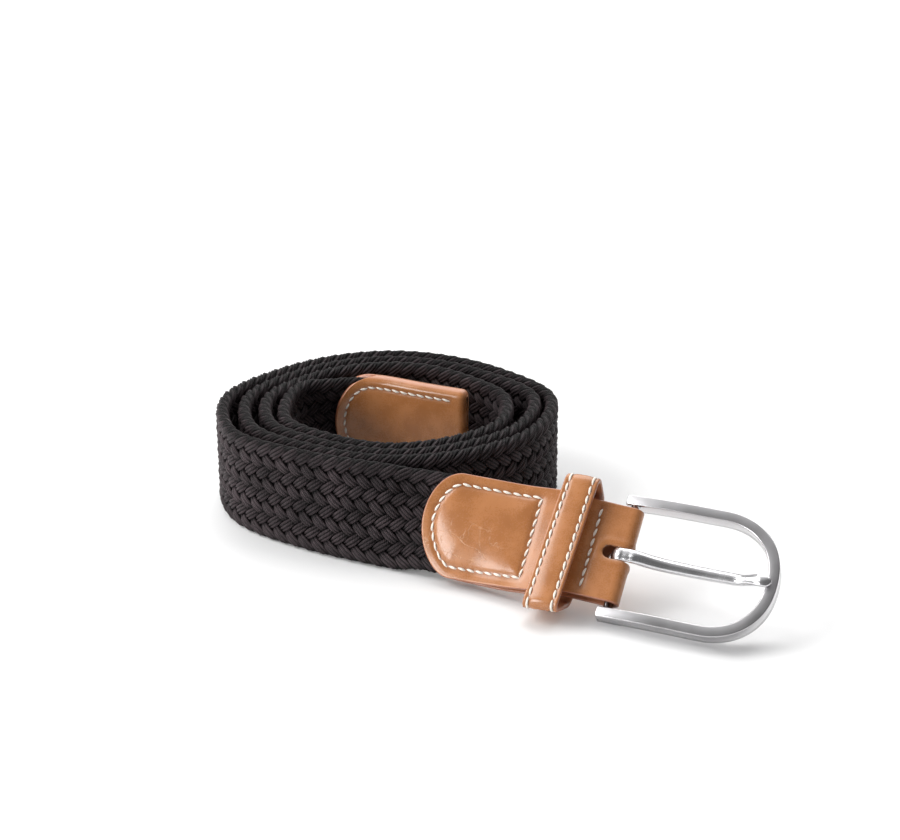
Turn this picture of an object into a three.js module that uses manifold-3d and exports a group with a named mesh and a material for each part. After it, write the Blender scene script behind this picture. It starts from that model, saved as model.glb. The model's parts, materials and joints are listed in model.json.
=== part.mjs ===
// Braided elastic stretch belt, coiled and standing on its lower edge, with leather ends and a buckle.
// Millimetres, +Z up. The origin is the middle of the underside of the whole belt's box.
import * as THREE from "three";
import { mergeVertices } from "three/addons/utils/BufferGeometryUtils.js";
import Module from "manifold-3d";

// The braided elastic strap.
const STRAP_WIDTH = 35;
const STRAP_THICKNESS = 4.4;
const STRAP_EDGE_RADIUS = 1.6;
const STRAP_FACE_PARTS = 4;
const SEWN_WIDTH = 33.4; // where it is flattened between leather
const SEWN_THICKNESS = 3.2;
const SEWN_BLEND = 12; // the stretch over which it swells to its full section
const SEWN_TUCK = 2; // how far under the leather's end the swelling starts
const LONGEST_STEP = 7; // between two sections along the belt
const LARGEST_TURN = 9; // degrees between two sections along the belt
const STEP_SAMPLES = 14; // places looked at in each longest step
const CURVE_DIVISIONS = 4000;

// The coil.
const COIL_WIDTH = 120; // left to right, between the middles of the outermost turn
const TURN_GAP = 0.5; // free space where two turns lie against each other
const LEAN_KEPT = 0.6; // each turn leans back by this share of the lean of the turn outside it

// The leather tab that holds the buckle.
const LEATHER = 1.4;
const CLEARANCE = 0.3; // between two pieces that touch
const TAB_LENGTH = 68; // from the bar to the round end of the front leaf
const TAB_BACK_SHORTER = 2; // the back leaf ends this much before the front leaf
const TAB_WIDTH = 34.8;
const TAB_NECK_WIDTH = 32.6; // inside the buckle frame
const TAB_NECK_LENGTH = 12;
const TAB_END_DEPTH = 11; // how far the round end reaches over the straight edges
const TAB_END_POWER = 2.4; // 2 is an ellipse, more is squarer
const TAB_END_CUT = 0.985; // the share of its round end's depth at which a leaf is cut off square
const STRAP_START = 12; // the strap's sewn end, from the bar
const SLOT_LENGTH = 9; // the prong slot, from the bar along each leaf
const SLOT_WIDTH = 5;
const LEATHER_STEP = 4; // between two rows of points along flat leather
const TAB_COLUMNS = [-1, -0.92, -0.6, -0.2, 0.2, 0.6, 0.92, 1]; // shares of its half width
const TAB_END_SHARES = [1, 0.97, 0.9, 0.78, 0.6, 0.35, 0]; // rows in its round end, from the tip
const FOLD_ANGLES = [60, 30, 0, -30, -60]; // rows round the bar, in degrees from the belt's plane

// The sewn keeper loop.
const KEEPER_AT = 18; // its middle, from the bar
const KEEPER_WIDTH = 10.5;
const KEEPER_SPAN = 42.6; // outside, across the belt
const KEEPER_LEATHER = 1.8;
const KEEPER_ROOM = 4.7; // free space in front of the tab, for the belt's tip
const KEEPER_RADIUS = 4;

// The buckle frame, in its own plane: a bar, two arms and a round outer end.
const FRAME_WIDTH = 42.6;
const FRAME_REACH = 50.6; // from the bar's axis to the outer end
const FRAME_ARM = 3.5;
const FRAME_TAIL = 3; // how far the arms run past the bar's axis
const FRAME_FRONT = 2.5; // the face, in front of the bar's axis
const FRAME_BACK = 2;
const FRAME_CHAMFER = 0.8;
const FRAME_END_DEPTH = 21.5; // the length of the round outer end
const FRAME_END_POWER = 2.2;
const FRAME_SWUNG_BACK = 0.5; // degrees about the bar, until its lower edge touches the ground
const FRAME_STEP = 12; // between two sections along an arm
const FRAME_TURN = 7.5; // degrees between two sections round the outer end
const BAR_DIAMETER = 3;
const BAR_SIDES = 16;

// The prong.
const PRONG_WIDTH = 3.8;
const PRONG_THICKNESS = 2.6;
const PRONG_TIP_WIDTH = 4.2;
const PRONG_TIP_THICKNESS = 2;
const PRONG_SHORT_OF_END = 1.8; // from its tip to the frame's outer end
const PRONG_REACH = FRAME_REACH - PRONG_SHORT_OF_END; // from the bar's axis to the tip
const PRONG_FLAT_FROM = 0.75; // the shares of its length between which it flattens into its tip
const PRONG_FLAT_TO = 0.92;
const PRONG_ROUND_FROM = 0.95; // the share at which the tip starts to narrow
const PRONG_NARROWED = 0.45; // how much of its width the tip loses
const PRONG_CORNER = 0.35; // the radius of its edges, as a share of its thickness
const PRONG_RINGS = 28;
const PRONG_RING_WALL = 1.5;
const PRONG_RING_SIDES = 24;

// The leather pocket on the free end.
const TIP_LENGTH = 52;
const TIP_WIDTH = 35.6;
const TIP_THICKNESS = 6.2;
const TIP_MOUTH_DEPTH = 16; // how far the round mouth reaches over the pocket's edges
const TIP_END_ROUNDING = 0.9;
const TIP_CORNER = 2.4; // the radius of its edges in section
const TIP_RINGS = 18;
const TIP_FACE_PARTS = 6;
const STRAP_END = 6; // the strap stops this far inside the pocket's closed end

// The tail, from the bar back to the coil. x and y are measured from the coil's middle, as shares of
// the coil's width. The strap leans back by `lean` degrees, `rests` is what would touch the ground
// there, and `lifted` is how far above that it is held, by the stiff leather on either side.
const TAIL = [
  { x: 0.634, y: -0.73, lean: 50, rests: "keeper", lifted: 0.5 },
  { x: 0.496, y: -0.673, lean: 47, rests: "keeper", lifted: 0.5 },
  { x: 0.358, y: -0.613, lean: 42, rests: "tab", lifted: 0.9 },
  { x: 0.249, y: -0.571, lean: 35.5, rests: "tab", lifted: 0.1 },
  { x: 0.107, y: -0.525, lean: 26, rests: "tab", lifted: 0 },
  { x: 0.051, y: -0.508, lean: 21.5, rests: "strap", lifted: 0 },
];

// The coil, in twelve directions seen from its middle. `reach` is the outermost turn's distance, as a
// share of half the coil's width. `turns` says how far in the later turns lie, in pitches, where a
// pitch is one thickness and one gap. The rows go round clockwise, as the belt does from its buckle.
const COIL = [
  { direction: -90, reach: 0.992, lean: 17, turns: [0, 1.43, 2.47, 3.51] },
  { direction: -120, reach: 0.94, lean: 8, turns: [0, 1.2, 2.28, 3.36] },
  { direction: -150, reach: 1.025, lean: 1, turns: [0, 1.57, 3.0, 4.18] },
  { direction: -180, reach: 0.972, lean: 0, turns: [0, 1.56, 3.05, 4.47] },
  { direction: -210, reach: 0.77, lean: 0, turns: [0, 1.15, 2.4] },
  { direction: -240, reach: 0.672, lean: 0, turns: [0, 1.08, 2.2] },
  { direction: -270, reach: 0.643, lean: 0, turns: [0, 1.08, 2.2] },
  { direction: -300, reach: 0.66, lean: 0, turns: [0, 1.08, 2.25] },
  { direction: -330, reach: 0.75, lean: 0, turns: [0, 1.17, 2.75] },
  { direction: -360, reach: 0.95, lean: 0, turns: [0, 1.22, 3.38] },
  { direction: -390, reach: 0.968, lean: 3, turns: [0, 1.3, 2.75] },
  { direction: -420, reach: 0.908, lean: 6, turns: [0, 1.22, 2.39] },
];

// The free end, which leaves the coil and crosses its inside. Shares as in TAIL.
const FREE_END = [
  { x: -0.267, y: 0.079 },
  { x: -0.196, y: 0.11 },
  { x: -0.117, y: 0.125 },
  { x: -0.033, y: 0.1125 },
  { x: 0.092, y: 0.058 },
  { x: 0.229, y: 0.0025 },
];

// The prong's middle line, as shares of its reach and of the height at which its tip rests.
const PRONG_LINE = [
  { along: 0.03, up: 0.21 },
  { along: 0.12, up: 0.26 },
  { along: 0.21, up: 0.03 },
  { along: 0.47, up: -0.05 },
  { along: 0.74, up: 0.03 },
  { along: 0.86, up: 0.45 },
  { along: 0.93, up: 0.98 },
  { along: 1.0, up: 1.0 },
];

const COLOURS = {
  strap: { color: 0x232122, roughness: 0.9, metalness: 0 },
  leather: { color: 0xb57a4b, roughness: 0.5, metalness: 0 },
  satin: { color: 0xc9c9cc, roughness: 0.35, metalness: 1 },
  chrome: { color: 0xd8d8dc, roughness: 0.12, metalness: 1 },
};

const wasm = await Module();
wasm.setup();

const radians = THREE.MathUtils.degToRad;
const smooth = THREE.MathUtils.smoothstep;

// A closed outline with round corners, as [out, up] pairs, counterclockwise.
function roundedOutline(outFrom, outTo, upFrom, upTo, radius, steps) {
  const corners = [
    [outTo - radius, upTo - radius, 0],
    [outFrom + radius, upTo - radius, 90],
    [outFrom + radius, upFrom + radius, 180],
    [outTo - radius, upFrom + radius, 270],
  ];
  const points = [];
  for (const [out, up, start] of corners) {
    for (let k = 0; k <= steps; k++) {
      const angle = radians(start + (90 * k) / steps);
      points.push([out + radius * Math.cos(angle), up + radius * Math.sin(angle)]);
    }
  }
  return points;
}

// A flat outline across the belt, with both its faces in equal parts so that they can bend and twist.
function beltOutline(width, thickness, radius, parts) {
  const corners = roundedOutline(-thickness / 2, thickness / 2, -width / 2, width / 2, radius, 2);
  const half = corners.length / 2;
  const reach = width / 2 - radius;
  const face = (out, start) =>
    stops(start, -start, (2 * reach) / parts)
      .slice(1, -1)
      .map((up) => [out, up]);
  return [
    ...corners.slice(0, half),
    ...face(-thickness / 2, reach),
    ...corners.slice(half),
    ...face(thickness / 2, -reach),
  ];
}

function strapOutline(width, thickness) {
  return beltOutline(width, thickness, STRAP_EDGE_RADIUS, STRAP_FACE_PARTS);
}

const LEAF_INSIDE = SEWN_THICKNESS / 2 + CLEARANCE;
const LEAF_OUTSIDE = LEAF_INSIDE + LEATHER;
const KEEPER_BACK = LEAF_OUTSIDE + CLEARANCE;
const KEEPER_FRONT = LEAF_OUTSIDE + KEEPER_ROOM;

function keeperOutline(grow) {
  const half = KEEPER_SPAN / 2 - KEEPER_LEATHER + grow;
  const radius = KEEPER_RADIUS - KEEPER_LEATHER + grow;
  return roundedOutline(-KEEPER_BACK - grow, KEEPER_FRONT + grow, -half, half, radius, 4);
}

const RESTING_OUTLINES = {
  strap: strapOutline(STRAP_WIDTH, STRAP_THICKNESS),
  tab: roundedOutline(-LEAF_OUTSIDE, LEAF_OUTSIDE, -TAB_WIDTH / 2, TAB_WIDTH / 2, 0, 1),
  keeper: keeperOutline(KEEPER_LEATHER),
  tip: beltOutline(TIP_WIDTH, TIP_THICKNESS, TIP_CORNER, 1),
};

// How high the middle line lies when the lowest corner of the named outline touches the ground.
function restingHeight(rests, lean) {
  const angle = radians(lean);
  const height = ([out, up]) => up * Math.cos(angle) + out * Math.sin(angle);
  return -Math.min(...RESTING_OUTLINES[rests].map(height));
}

// Every section of the belt's route, from the bar to the free end.
function routeSections() {
  const pitch = STRAP_THICKNESS + TURN_GAP;
  const sections = TAIL.map((row) => ({ ...row, x: row.x * COIL_WIDTH, y: row.y * COIL_WIDTH }));
  for (let turn = 0; turn < 4; turn++) {
    for (const row of COIL.filter((candidate) => turn < candidate.turns.length)) {
      const distance = (row.reach * COIL_WIDTH) / 2 - row.turns[turn] * pitch;
      const angle = radians(row.direction);
      sections.push({
        x: distance * Math.cos(angle),
        y: distance * Math.sin(angle),
        lean: row.lean * LEAN_KEPT ** turn,
        rests: "strap",
        lifted: 0,
      });
    }
  }
  for (const row of FREE_END) {
    sections.push({ x: row.x * COIL_WIDTH, y: row.y * COIL_WIDTH, lean: 0, rests: "tip", lifted: 0 });
  }
  return sections;
}

function sectionMiddle({ x, y, lean, rests, lifted }) {
  return new THREE.Vector3(x, y, restingHeight(rests, lean) + lifted);
}

const SECTIONS = routeSections();
const ROUTE = new THREE.CatmullRomCurve3(SECTIONS.map(sectionMiddle), false, "centripetal");
ROUTE.arcLengthDivisions = CURVE_DIVISIONS;
const ROUTE_LENGTH = ROUTE.getLength();

// The lean at a curve parameter, eased between the two sections on either side.
function leanAt(t) {
  const place = t * (SECTIONS.length - 1);
  const before = Math.min(Math.floor(place), SECTIONS.length - 2);
  const share = smooth(place - before, 0, 1);
  const mix = 0.5 * share + 0.5 * (place - before);
  return THREE.MathUtils.lerp(SECTIONS[before].lean, SECTIONS[before + 1].lean, mix);
}

// The belt's own directions at a distance from the bar: along it, up across it, and out of its face.
function stationAt(distance) {
  const inside = THREE.MathUtils.clamp(distance, 0, ROUTE_LENGTH);
  const t = ROUTE.getUtoTmapping(inside / ROUTE_LENGTH);
  const along = ROUTE.getTangent(t).setZ(0).normalize();
  const inward = new THREE.Vector3(along.y, -along.x, 0);
  const lean = radians(leanAt(t));
  const up = inward.multiplyScalar(Math.sin(lean)).setZ(Math.cos(lean));
  const out = new THREE.Vector3().crossVectors(up, along);
  const point = ROUTE.getPoint(t).addScaledVector(along, distance - inside);
  return { point, along, up, out };
}

function place(station, out, up) {
  return station.point.clone().addScaledVector(station.out, out).addScaledVector(station.up, up);
}

function geometryOf(points, triangles) {
  const geometry = new THREE.BufferGeometry().setFromPoints(points);
  geometry.setIndex(triangles);
  geometry.computeVertexNormals();
  return geometry;
}

// The two triangles of a quad.
function quad(triangles, a, b, c, d) {
  triangles.push(a, b, c, a, c, d);
}

// A solid through rings of points, each counterclockwise seen from the far end, with flat ends.
function loft(rings) {
  const count = rings[0].length;
  const triangles = [];
  for (let i = 0; i + 1 < rings.length; i++) {
    for (let j = 0; j < count; j++) {
      const next = (j + 1) % count;
      quad(triangles, i * count + j, i * count + next, (i + 1) * count + next, (i + 1) * count + j);
    }
  }
  const last = (rings.length - 1) * count;
  for (let j = 1; j + 1 < count; j++) {
    triangles.push(0, j + 1, j, last, last + j, last + j + 1);
  }
  return geometryOf(rings.flat(), triangles);
}

// A sheet with a thickness, between two grids of points that have the same rows and columns.
function sheet(outer, inner) {
  const rows = outer.length;
  const columns = outer[0].length;
  const face = (i, j) => i * columns + j;
  const lining = (i, j) => rows * columns + i * columns + j;
  const triangles = [];
  for (let i = 0; i + 1 < rows; i++) {
    for (let j = 0; j + 1 < columns; j++) {
      quad(triangles, face(i, j), face(i + 1, j), face(i + 1, j + 1), face(i, j + 1));
      quad(triangles, lining(i, j), lining(i, j + 1), lining(i + 1, j + 1), lining(i + 1, j));
    }
    const top = columns - 1;
    quad(triangles, face(i, 0), lining(i, 0), lining(i + 1, 0), face(i + 1, 0));
    quad(triangles, face(i, top), face(i + 1, top), lining(i + 1, top), lining(i, top));
  }
  for (let j = 0; j + 1 < columns; j++) {
    const end = rows - 1;
    quad(triangles, face(0, j), face(0, j + 1), lining(0, j + 1), lining(0, j));
    quad(triangles, face(end, j), lining(end, j), lining(end, j + 1), face(end, j + 1));
  }
  return geometryOf([...outer.flat(), ...inner.flat()], triangles);
}

function solidOf(geometry) {
  const bare = geometry.clone();
  bare.deleteAttribute("normal");
  bare.deleteAttribute("uv");
  const merged = mergeVertices(bare, 1e-4);
  return new wasm.Manifold(
    new wasm.Mesh({
      numProp: 3,
      vertProperties: new Float32Array(merged.attributes.position.array),
      triVerts: new Uint32Array(merged.index.array),
    }),
  );
}

function geometryFrom(solid) {
  const mesh = solid.getMesh();
  const geometry = new THREE.BufferGeometry();
  geometry.setAttribute("position", new THREE.BufferAttribute(mesh.vertProperties, 3));
  geometry.setIndex(new THREE.BufferAttribute(mesh.triVerts, 1));
  geometry.computeVertexNormals();
  return geometry;
}

function named(name, geometry, finish) {
  const mesh = new THREE.Mesh(geometry, new THREE.MeshStandardMaterial(COLOURS[finish]));
  mesh.name = name;
  return mesh;
}

// Distances from one place to another, both included, in steps no longer than the given one.
function stops(from, to, step) {
  const count = Math.max(1, Math.ceil(Math.abs(to - from) / step));
  return Array.from({ length: count + 1 }, (_, k) => from + ((to - from) * k) / count);
}

// Distances along the belt from one place to another, closer together where it bends more.
function routeStops(from, to) {
  const distances = [from];
  let last = stationAt(from);
  for (const distance of stops(from, to, LONGEST_STEP / STEP_SAMPLES).slice(1, -1)) {
    const station = stationAt(distance);
    const turned = THREE.MathUtils.radToDeg(station.along.angleTo(last.along));
    if (turned > LARGEST_TURN || distance - distances.at(-1) > LONGEST_STEP) {
      distances.push(distance);
      last = station;
    }
  }
  return [...distances, to];
}

// The height of a squarish ellipse of unit size, at a share of its length.
function roundShare(share, power) {
  return (1 - Math.min(1, Math.abs(share)) ** power) ** (1 / power);
}

function strapGeometry() {
  const rings = routeStops(STRAP_START, ROUTE_LENGTH - STRAP_END).map((distance) => {
    const station = stationAt(distance);
    const fromTab = smooth(distance, TAB_LENGTH - SEWN_TUCK, TAB_LENGTH + SEWN_BLEND);
    const toTip = smooth(ROUTE_LENGTH - distance, TIP_LENGTH - SEWN_TUCK, TIP_LENGTH + SEWN_BLEND);
    const full = Math.min(fromTab, toTip);
    const width = THREE.MathUtils.lerp(SEWN_WIDTH, STRAP_WIDTH, full);
    const thickness = THREE.MathUtils.lerp(SEWN_THICKNESS, STRAP_THICKNESS, full);
    return strapOutline(width, thickness).map(([out, up]) => place(station, out, up));
  });
  return loft(rings);
}

// Half the tab's width at a distance from the bar, for a leaf that ends at the given distance.
function tabHalfWidth(distance, leafEnd) {
  const straight = smooth(distance, TAB_NECK_LENGTH, KEEPER_AT + KEEPER_WIDTH / 2);
  const half = THREE.MathUtils.lerp(TAB_NECK_WIDTH, TAB_WIDTH, straight) / 2;
  const intoEnd = (distance - (leafEnd - TAB_END_DEPTH)) / TAB_END_DEPTH;
  return intoEnd > 0 ? half * roundShare(intoEnd * TAB_END_CUT, TAB_END_POWER) : half;
}

function tabGeometry() {
  const frontEnd = TAB_LENGTH;
  const backEnd = TAB_LENGTH - TAB_BACK_SHORTER;
  const leaf = (end) => [
    ...TAB_END_SHARES.map((share) => end - TAB_END_DEPTH * (1 - share)),
    ...stops(end - TAB_END_DEPTH, 0, LEATHER_STEP).slice(1),
  ];
  const rows = leaf(frontEnd).map((distance) => ({ distance, angle: 90, end: frontEnd }));
  for (const angle of FOLD_ANGLES) {
    rows.push({ distance: 0, angle, end: frontEnd });
  }
  rows.push(...leaf(backEnd).reverse().map((distance) => ({ distance, angle: -90, end: backEnd })));
  const grid = (radius) =>
    rows.map(({ distance, angle, end }) => {
      const station = stationAt(distance - radius * Math.cos(radians(angle)));
      const half = tabHalfWidth(distance, end);
      return TAB_COLUMNS.map((column) => place(station, radius * Math.sin(radians(angle)), column * half));
    });
  const folded = solidOf(sheet(grid(LEAF_OUTSIDE), grid(LEAF_INSIDE)));
  const slotSpan = SLOT_LENGTH + 2 * LEAF_OUTSIDE;
  const slot = new THREE.BoxGeometry(slotSpan, SLOT_WIDTH, 4 * LEAF_OUTSIDE);
  slot.translate(slotSpan / 2 - SLOT_LENGTH, 0, 0);
  slot.applyMatrix4(barMatrix());
  return geometryFrom(folded.subtract(solidOf(slot)));
}

function keeperGeometry() {
  const through = (grow, reach) =>
    stops(KEEPER_AT - reach, KEEPER_AT + reach, LEATHER_STEP).map((distance) => {
      const station = stationAt(distance);
      return keeperOutline(grow).map(([out, up]) => place(station, out, up));
    });
  const outside = through(KEEPER_LEATHER, KEEPER_WIDTH / 2);
  const inside = through(0, KEEPER_WIDTH / 2 + LEATHER);
  return geometryFrom(solidOf(loft(outside)).subtract(solidOf(loft(inside))));
}

// A ring of the tip pocket, at a share of the way from its round mouth to a place near its closed end.
function tipRing(share, inset, to) {
  const width = TIP_WIDTH - 2 * inset;
  const thickness = TIP_THICKNESS - 2 * inset;
  return beltOutline(width, thickness, TIP_CORNER - inset, TIP_FACE_PARTS).map(([out, up]) => {
    const setBack = TIP_MOUTH_DEPTH * (1 - roundShare((2 * up) / TIP_WIDTH, 2));
    const mouth = ROUTE_LENGTH - TIP_LENGTH + setBack;
    return place(stationAt(THREE.MathUtils.lerp(mouth, to, share)), out, up);
  });
}

function tipGeometry() {
  const outside = stops(0, 1, 1 / TIP_RINGS).map((share) =>
    tipRing(share, 0, ROUTE_LENGTH - TIP_END_ROUNDING),
  );
  outside.push(tipRing(1, TIP_END_ROUNDING, ROUTE_LENGTH));
  const roomWidth = SEWN_WIDTH + 2 * CLEARANCE;
  const roomThickness = SEWN_THICKNESS + 2 * CLEARANCE;
  const roomFrom = ROUTE_LENGTH - TIP_LENGTH - LEATHER;
  const room = routeStops(roomFrom, ROUTE_LENGTH - STRAP_END + CLEARANCE).map((distance) =>
    beltOutline(roomWidth, roomThickness, STRAP_EDGE_RADIUS, 1).map(([out, up]) =>
      place(stationAt(distance), out, up),
    ),
  );
  return geometryFrom(solidOf(loft(outside)).subtract(solidOf(loft(room))));
}

// The buckle's own axes at the bar: x away from the tab, y up across the belt, z out of its face.
function barMatrix() {
  const { point, along, up, out } = stationAt(0);
  return new THREE.Matrix4().makeBasis(along.clone().negate(), up, out).setPosition(point);
}

// The frame's outline from one arm's tail round the outer end to the other's, inset from the outside.
function frameOutline(inset) {
  const half = FRAME_WIDTH / 2 - inset;
  const arc = FRAME_REACH - FRAME_END_DEPTH;
  const armSteps = stops(-FRAME_TAIL, arc, FRAME_STEP);
  const end = stops(-90, 90, FRAME_TURN).slice(1, -1).map((angle) => {
    const sine = Math.sin(radians(angle));
    const cosine = Math.cos(radians(angle));
    const power = 2 / FRAME_END_POWER;
    const x = arc + (FRAME_END_DEPTH - inset) * cosine ** power;
    return [x, half * Math.sign(sine) * Math.abs(sine) ** power];
  });
  return [...armSteps.map((x) => [x, -half]), ...end, ...armSteps.reverse().map((x) => [x, half])];
}

function frameGeometry() {
  const outside = frameOutline(0);
  const inside = frameOutline(FRAME_ARM);
  const edge = FRAME_CHAMFER / FRAME_ARM;
  const section = [
    [FRAME_FRONT, 1 - edge],
    [FRAME_FRONT - FRAME_CHAMFER, 1],
    [-FRAME_BACK, 1],
    [-FRAME_BACK, 0],
    [FRAME_FRONT - FRAME_CHAMFER, 0],
    [FRAME_FRONT, edge],
  ];
  const rings = outside.map(([x, y], k) =>
    section.map(([z, share]) => {
      const [innerX, innerY] = inside[k];
      return new THREE.Vector3(
        THREE.MathUtils.lerp(innerX, x, share),
        THREE.MathUtils.lerp(innerY, y, share),
        z,
      );
    }),
  );
  const barRadius = BAR_DIAMETER / 2;
  const bar = new THREE.CylinderGeometry(barRadius, barRadius, FRAME_WIDTH - FRAME_ARM, BAR_SIDES);
  return geometryFrom(solidOf(loft(rings)).add(solidOf(bar)));
}

function prongGeometry() {
  const tipHeight = FRAME_FRONT + CLEARANCE + PRONG_TIP_THICKNESS / 2;
  const line = new THREE.CatmullRomCurve3(
    PRONG_LINE.map(({ along, up }) => new THREE.Vector3(along * PRONG_REACH, 0, up * tipHeight)),
  );
  const across = new THREE.Vector3(0, 1, 0);
  const rings = stops(0, 1, 1 / PRONG_RINGS).map((share) => {
    const middle = line.getPointAt(share);
    const along = line.getTangentAt(share);
    const front = new THREE.Vector3().crossVectors(along, across);
    const flat = smooth(share, PRONG_FLAT_FROM, PRONG_FLAT_TO);
    const rounding = 1 - PRONG_NARROWED * smooth(share, PRONG_ROUND_FROM, 1);
    const halfWidth = (THREE.MathUtils.lerp(PRONG_WIDTH, PRONG_TIP_WIDTH, flat) / 2) * rounding;
    const thickness = THREE.MathUtils.lerp(PRONG_THICKNESS, PRONG_TIP_THICKNESS, flat);
    const halfThickness = thickness / 2;
    const corner = thickness * PRONG_CORNER;
    return roundedOutline(-halfThickness, halfThickness, -halfWidth, halfWidth, corner, 2).map(
      ([out, up]) => middle.clone().addScaledVector(front, out).addScaledVector(across, -up),
    );
  });
  const hole = BAR_DIAMETER / 2 + CLEARANCE;
  const ringRadius = hole + PRONG_RING_WALL;
  const ring = new THREE.CylinderGeometry(ringRadius, ringRadius, PRONG_WIDTH, PRONG_RING_SIDES);
  const boring = new THREE.CylinderGeometry(hole, hole, 2 * PRONG_WIDTH, PRONG_RING_SIDES);
  return geometryFrom(solidOf(loft(rings)).add(solidOf(ring)).subtract(solidOf(boring)));
}

const buckle = new THREE.Group();
buckle.add(named("buckle_frame", frameGeometry(), "satin"), named("prong", prongGeometry(), "chrome"));
buckle.rotateY(radians(FRAME_SWUNG_BACK));
buckle.applyMatrix4(barMatrix());

const belt = new THREE.Group();
belt.add(
  named("braided_strap", strapGeometry(), "strap"),
  named("buckle_tab", tabGeometry(), "leather"),
  named("keeper_loop", keeperGeometry(), "leather"),
  named("tip_cover", tipGeometry(), "leather"),
  buckle,
);
const box = new THREE.Box3().setFromObject(belt, true);
const middle = box.getCenter(new THREE.Vector3());
belt.position.set(-middle.x, -middle.y, -box.min.z);

const root = new THREE.Group();
root.add(belt);

export default root;
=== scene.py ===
"""A braided elastic stretch belt, coiled and standing on its edge, with leather ends and a buckle.

Lengths are in millimetres until a mesh is made of them. A place on the belt is its distance from the
buckle's bar, its height across the belt and its depth out of the belt's face.
"""

import json

import bpy
import numpy as np
from mathutils import Matrix, Vector

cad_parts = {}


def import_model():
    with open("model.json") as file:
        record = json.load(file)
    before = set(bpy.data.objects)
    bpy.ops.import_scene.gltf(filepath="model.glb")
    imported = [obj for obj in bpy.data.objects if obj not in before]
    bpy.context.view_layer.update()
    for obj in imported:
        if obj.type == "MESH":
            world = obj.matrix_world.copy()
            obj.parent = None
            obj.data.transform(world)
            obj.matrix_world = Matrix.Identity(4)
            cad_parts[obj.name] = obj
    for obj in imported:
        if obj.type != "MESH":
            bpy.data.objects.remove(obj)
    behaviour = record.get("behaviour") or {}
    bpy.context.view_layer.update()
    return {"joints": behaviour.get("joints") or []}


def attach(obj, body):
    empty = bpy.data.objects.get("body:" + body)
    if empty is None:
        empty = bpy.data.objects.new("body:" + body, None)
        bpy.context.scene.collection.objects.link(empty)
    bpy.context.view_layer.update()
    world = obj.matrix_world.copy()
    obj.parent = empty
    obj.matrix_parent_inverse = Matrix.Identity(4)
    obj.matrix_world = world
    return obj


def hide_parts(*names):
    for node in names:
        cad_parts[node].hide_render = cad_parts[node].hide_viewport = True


# The strap and the coil, as in the solid model.
STRAP_WIDTH = 35.0
STRAP_THICKNESS = 4.4
STRAP_EDGE_RADIUS = 1.6
SEWN_WIDTH = 33.4
SEWN_THICKNESS = 3.2
SEWN_BLEND = 12.0
COIL_WIDTH = 120.0
TURN_GAP = 0.5
LEAN_KEPT = 0.6

# The leather tab.
LEATHER = 1.4
CLEARANCE = 0.3
TAB_LENGTH = 68.0
TAB_BACK_SHORTER = 2.0
TAB_WIDTH = 34.8
TAB_NECK_WIDTH = 32.6
TAB_NECK_LENGTH = 12.0
TAB_END_DEPTH = 12.0
TAB_END_POWER = 1.9
TAB_SEAM_POWER = 1.7
SLOT_LENGTH = 5.9
SLOT_BACK_LENGTH = 4.6
SLOT_WIDTH = 4.5

# The keeper loop.
KEEPER_AT = 18.0
KEEPER_WIDTH = 11.2
KEEPER_SPAN = 42.6
KEEPER_LEATHER = 1.8
KEEPER_ROOM = 4.7
KEEPER_RADIUS = 4.0
KEEPER_FOLD = 2.2  # how far from a corner its lining starts to bend
KEEPER_FRONT_HALF = 20.8  # half its inside over the belt
KEEPER_FRONT_DROP = 2.9  # further at its lower end
KEEPER_SKEW = -0.05  # along the belt for each length across it
KEEPER_BACK_HALF = 17.8  # half its inside behind the belt, where it is pulled in
KEEPER_STITCH_INSET = 1.7

# The buckle frame and the prong.
FRAME_WIDTH = 42.6
FRAME_REACH = 50.6
FRAME_ARM = 3.5
FRAME_TAIL = 3.0
FRAME_FRONT = 2.9
FRAME_BACK = 3.3
FRAME_CROWN = 0.1  # how far the face's middle stands out
FRAME_EDGE = 0.3
FRAME_BOW = 0.0036  # how much the arms curve back, per square millimetre
FRAME_BOW_FROM = 18.0
FRAME_END_DEPTH = 21.5
FRAME_END_POWER = 2.2
FRAME_SWUNG_BACK = 0.5
BAR_DIAMETER = 3.0
PRONG_THICKNESS = 3.1
PRONG_TIP_WIDTH = 4.2
PRONG_TIP_THICKNESS = 2.0
PRONG_REACH = 48.8
PRONG_ROOT_WIDTH = 4.5
PRONG_NECK_WIDTH = 3.9
PRONG_HOOK_THICKNESS = 1.8
# The prong's middle from the bar to its tip, as shares of its reach and of its tip's height.
PRONG_LINE = [
    (0.066, 0.66),
    (0.123, 0.5),
    (0.195, 0.22),
    (0.287, 0.04),
    (0.47, -0.05),
    (0.7, 0.0),
    (0.79, 0.1),
    (0.86, 0.5),
    (0.92, 0.96),
    (0.96, 1.02),
    (0.985, 1.0),
    (1.0, 0.98),
]

# The leather pocket on the free end.
TIP_LENGTH = 52.0
TIP_WIDTH = 35.6
TIP_THICKNESS = 6.2
TIP_MOUTH_DEPTH = 16.0
TIP_CORNER = 2.8
TIP_END_ROUNDING = 2.3

# x, y (shares of the coil's width), lean in degrees, what touches the ground there, and how far it is
# held up.
TAIL = [
    (0.634, -0.73, 50, "keeper", 0.5),
    (0.496, -0.673, 47, "keeper", 0.5),
    (0.358, -0.613, 42, "tab", 0.9),
    (0.249, -0.571, 35.5, "tab", 0.1),
    (0.107, -0.525, 26, "tab", 0.0),
    (0.051, -0.508, 21.5, "strap", 0.0),
]
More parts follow.
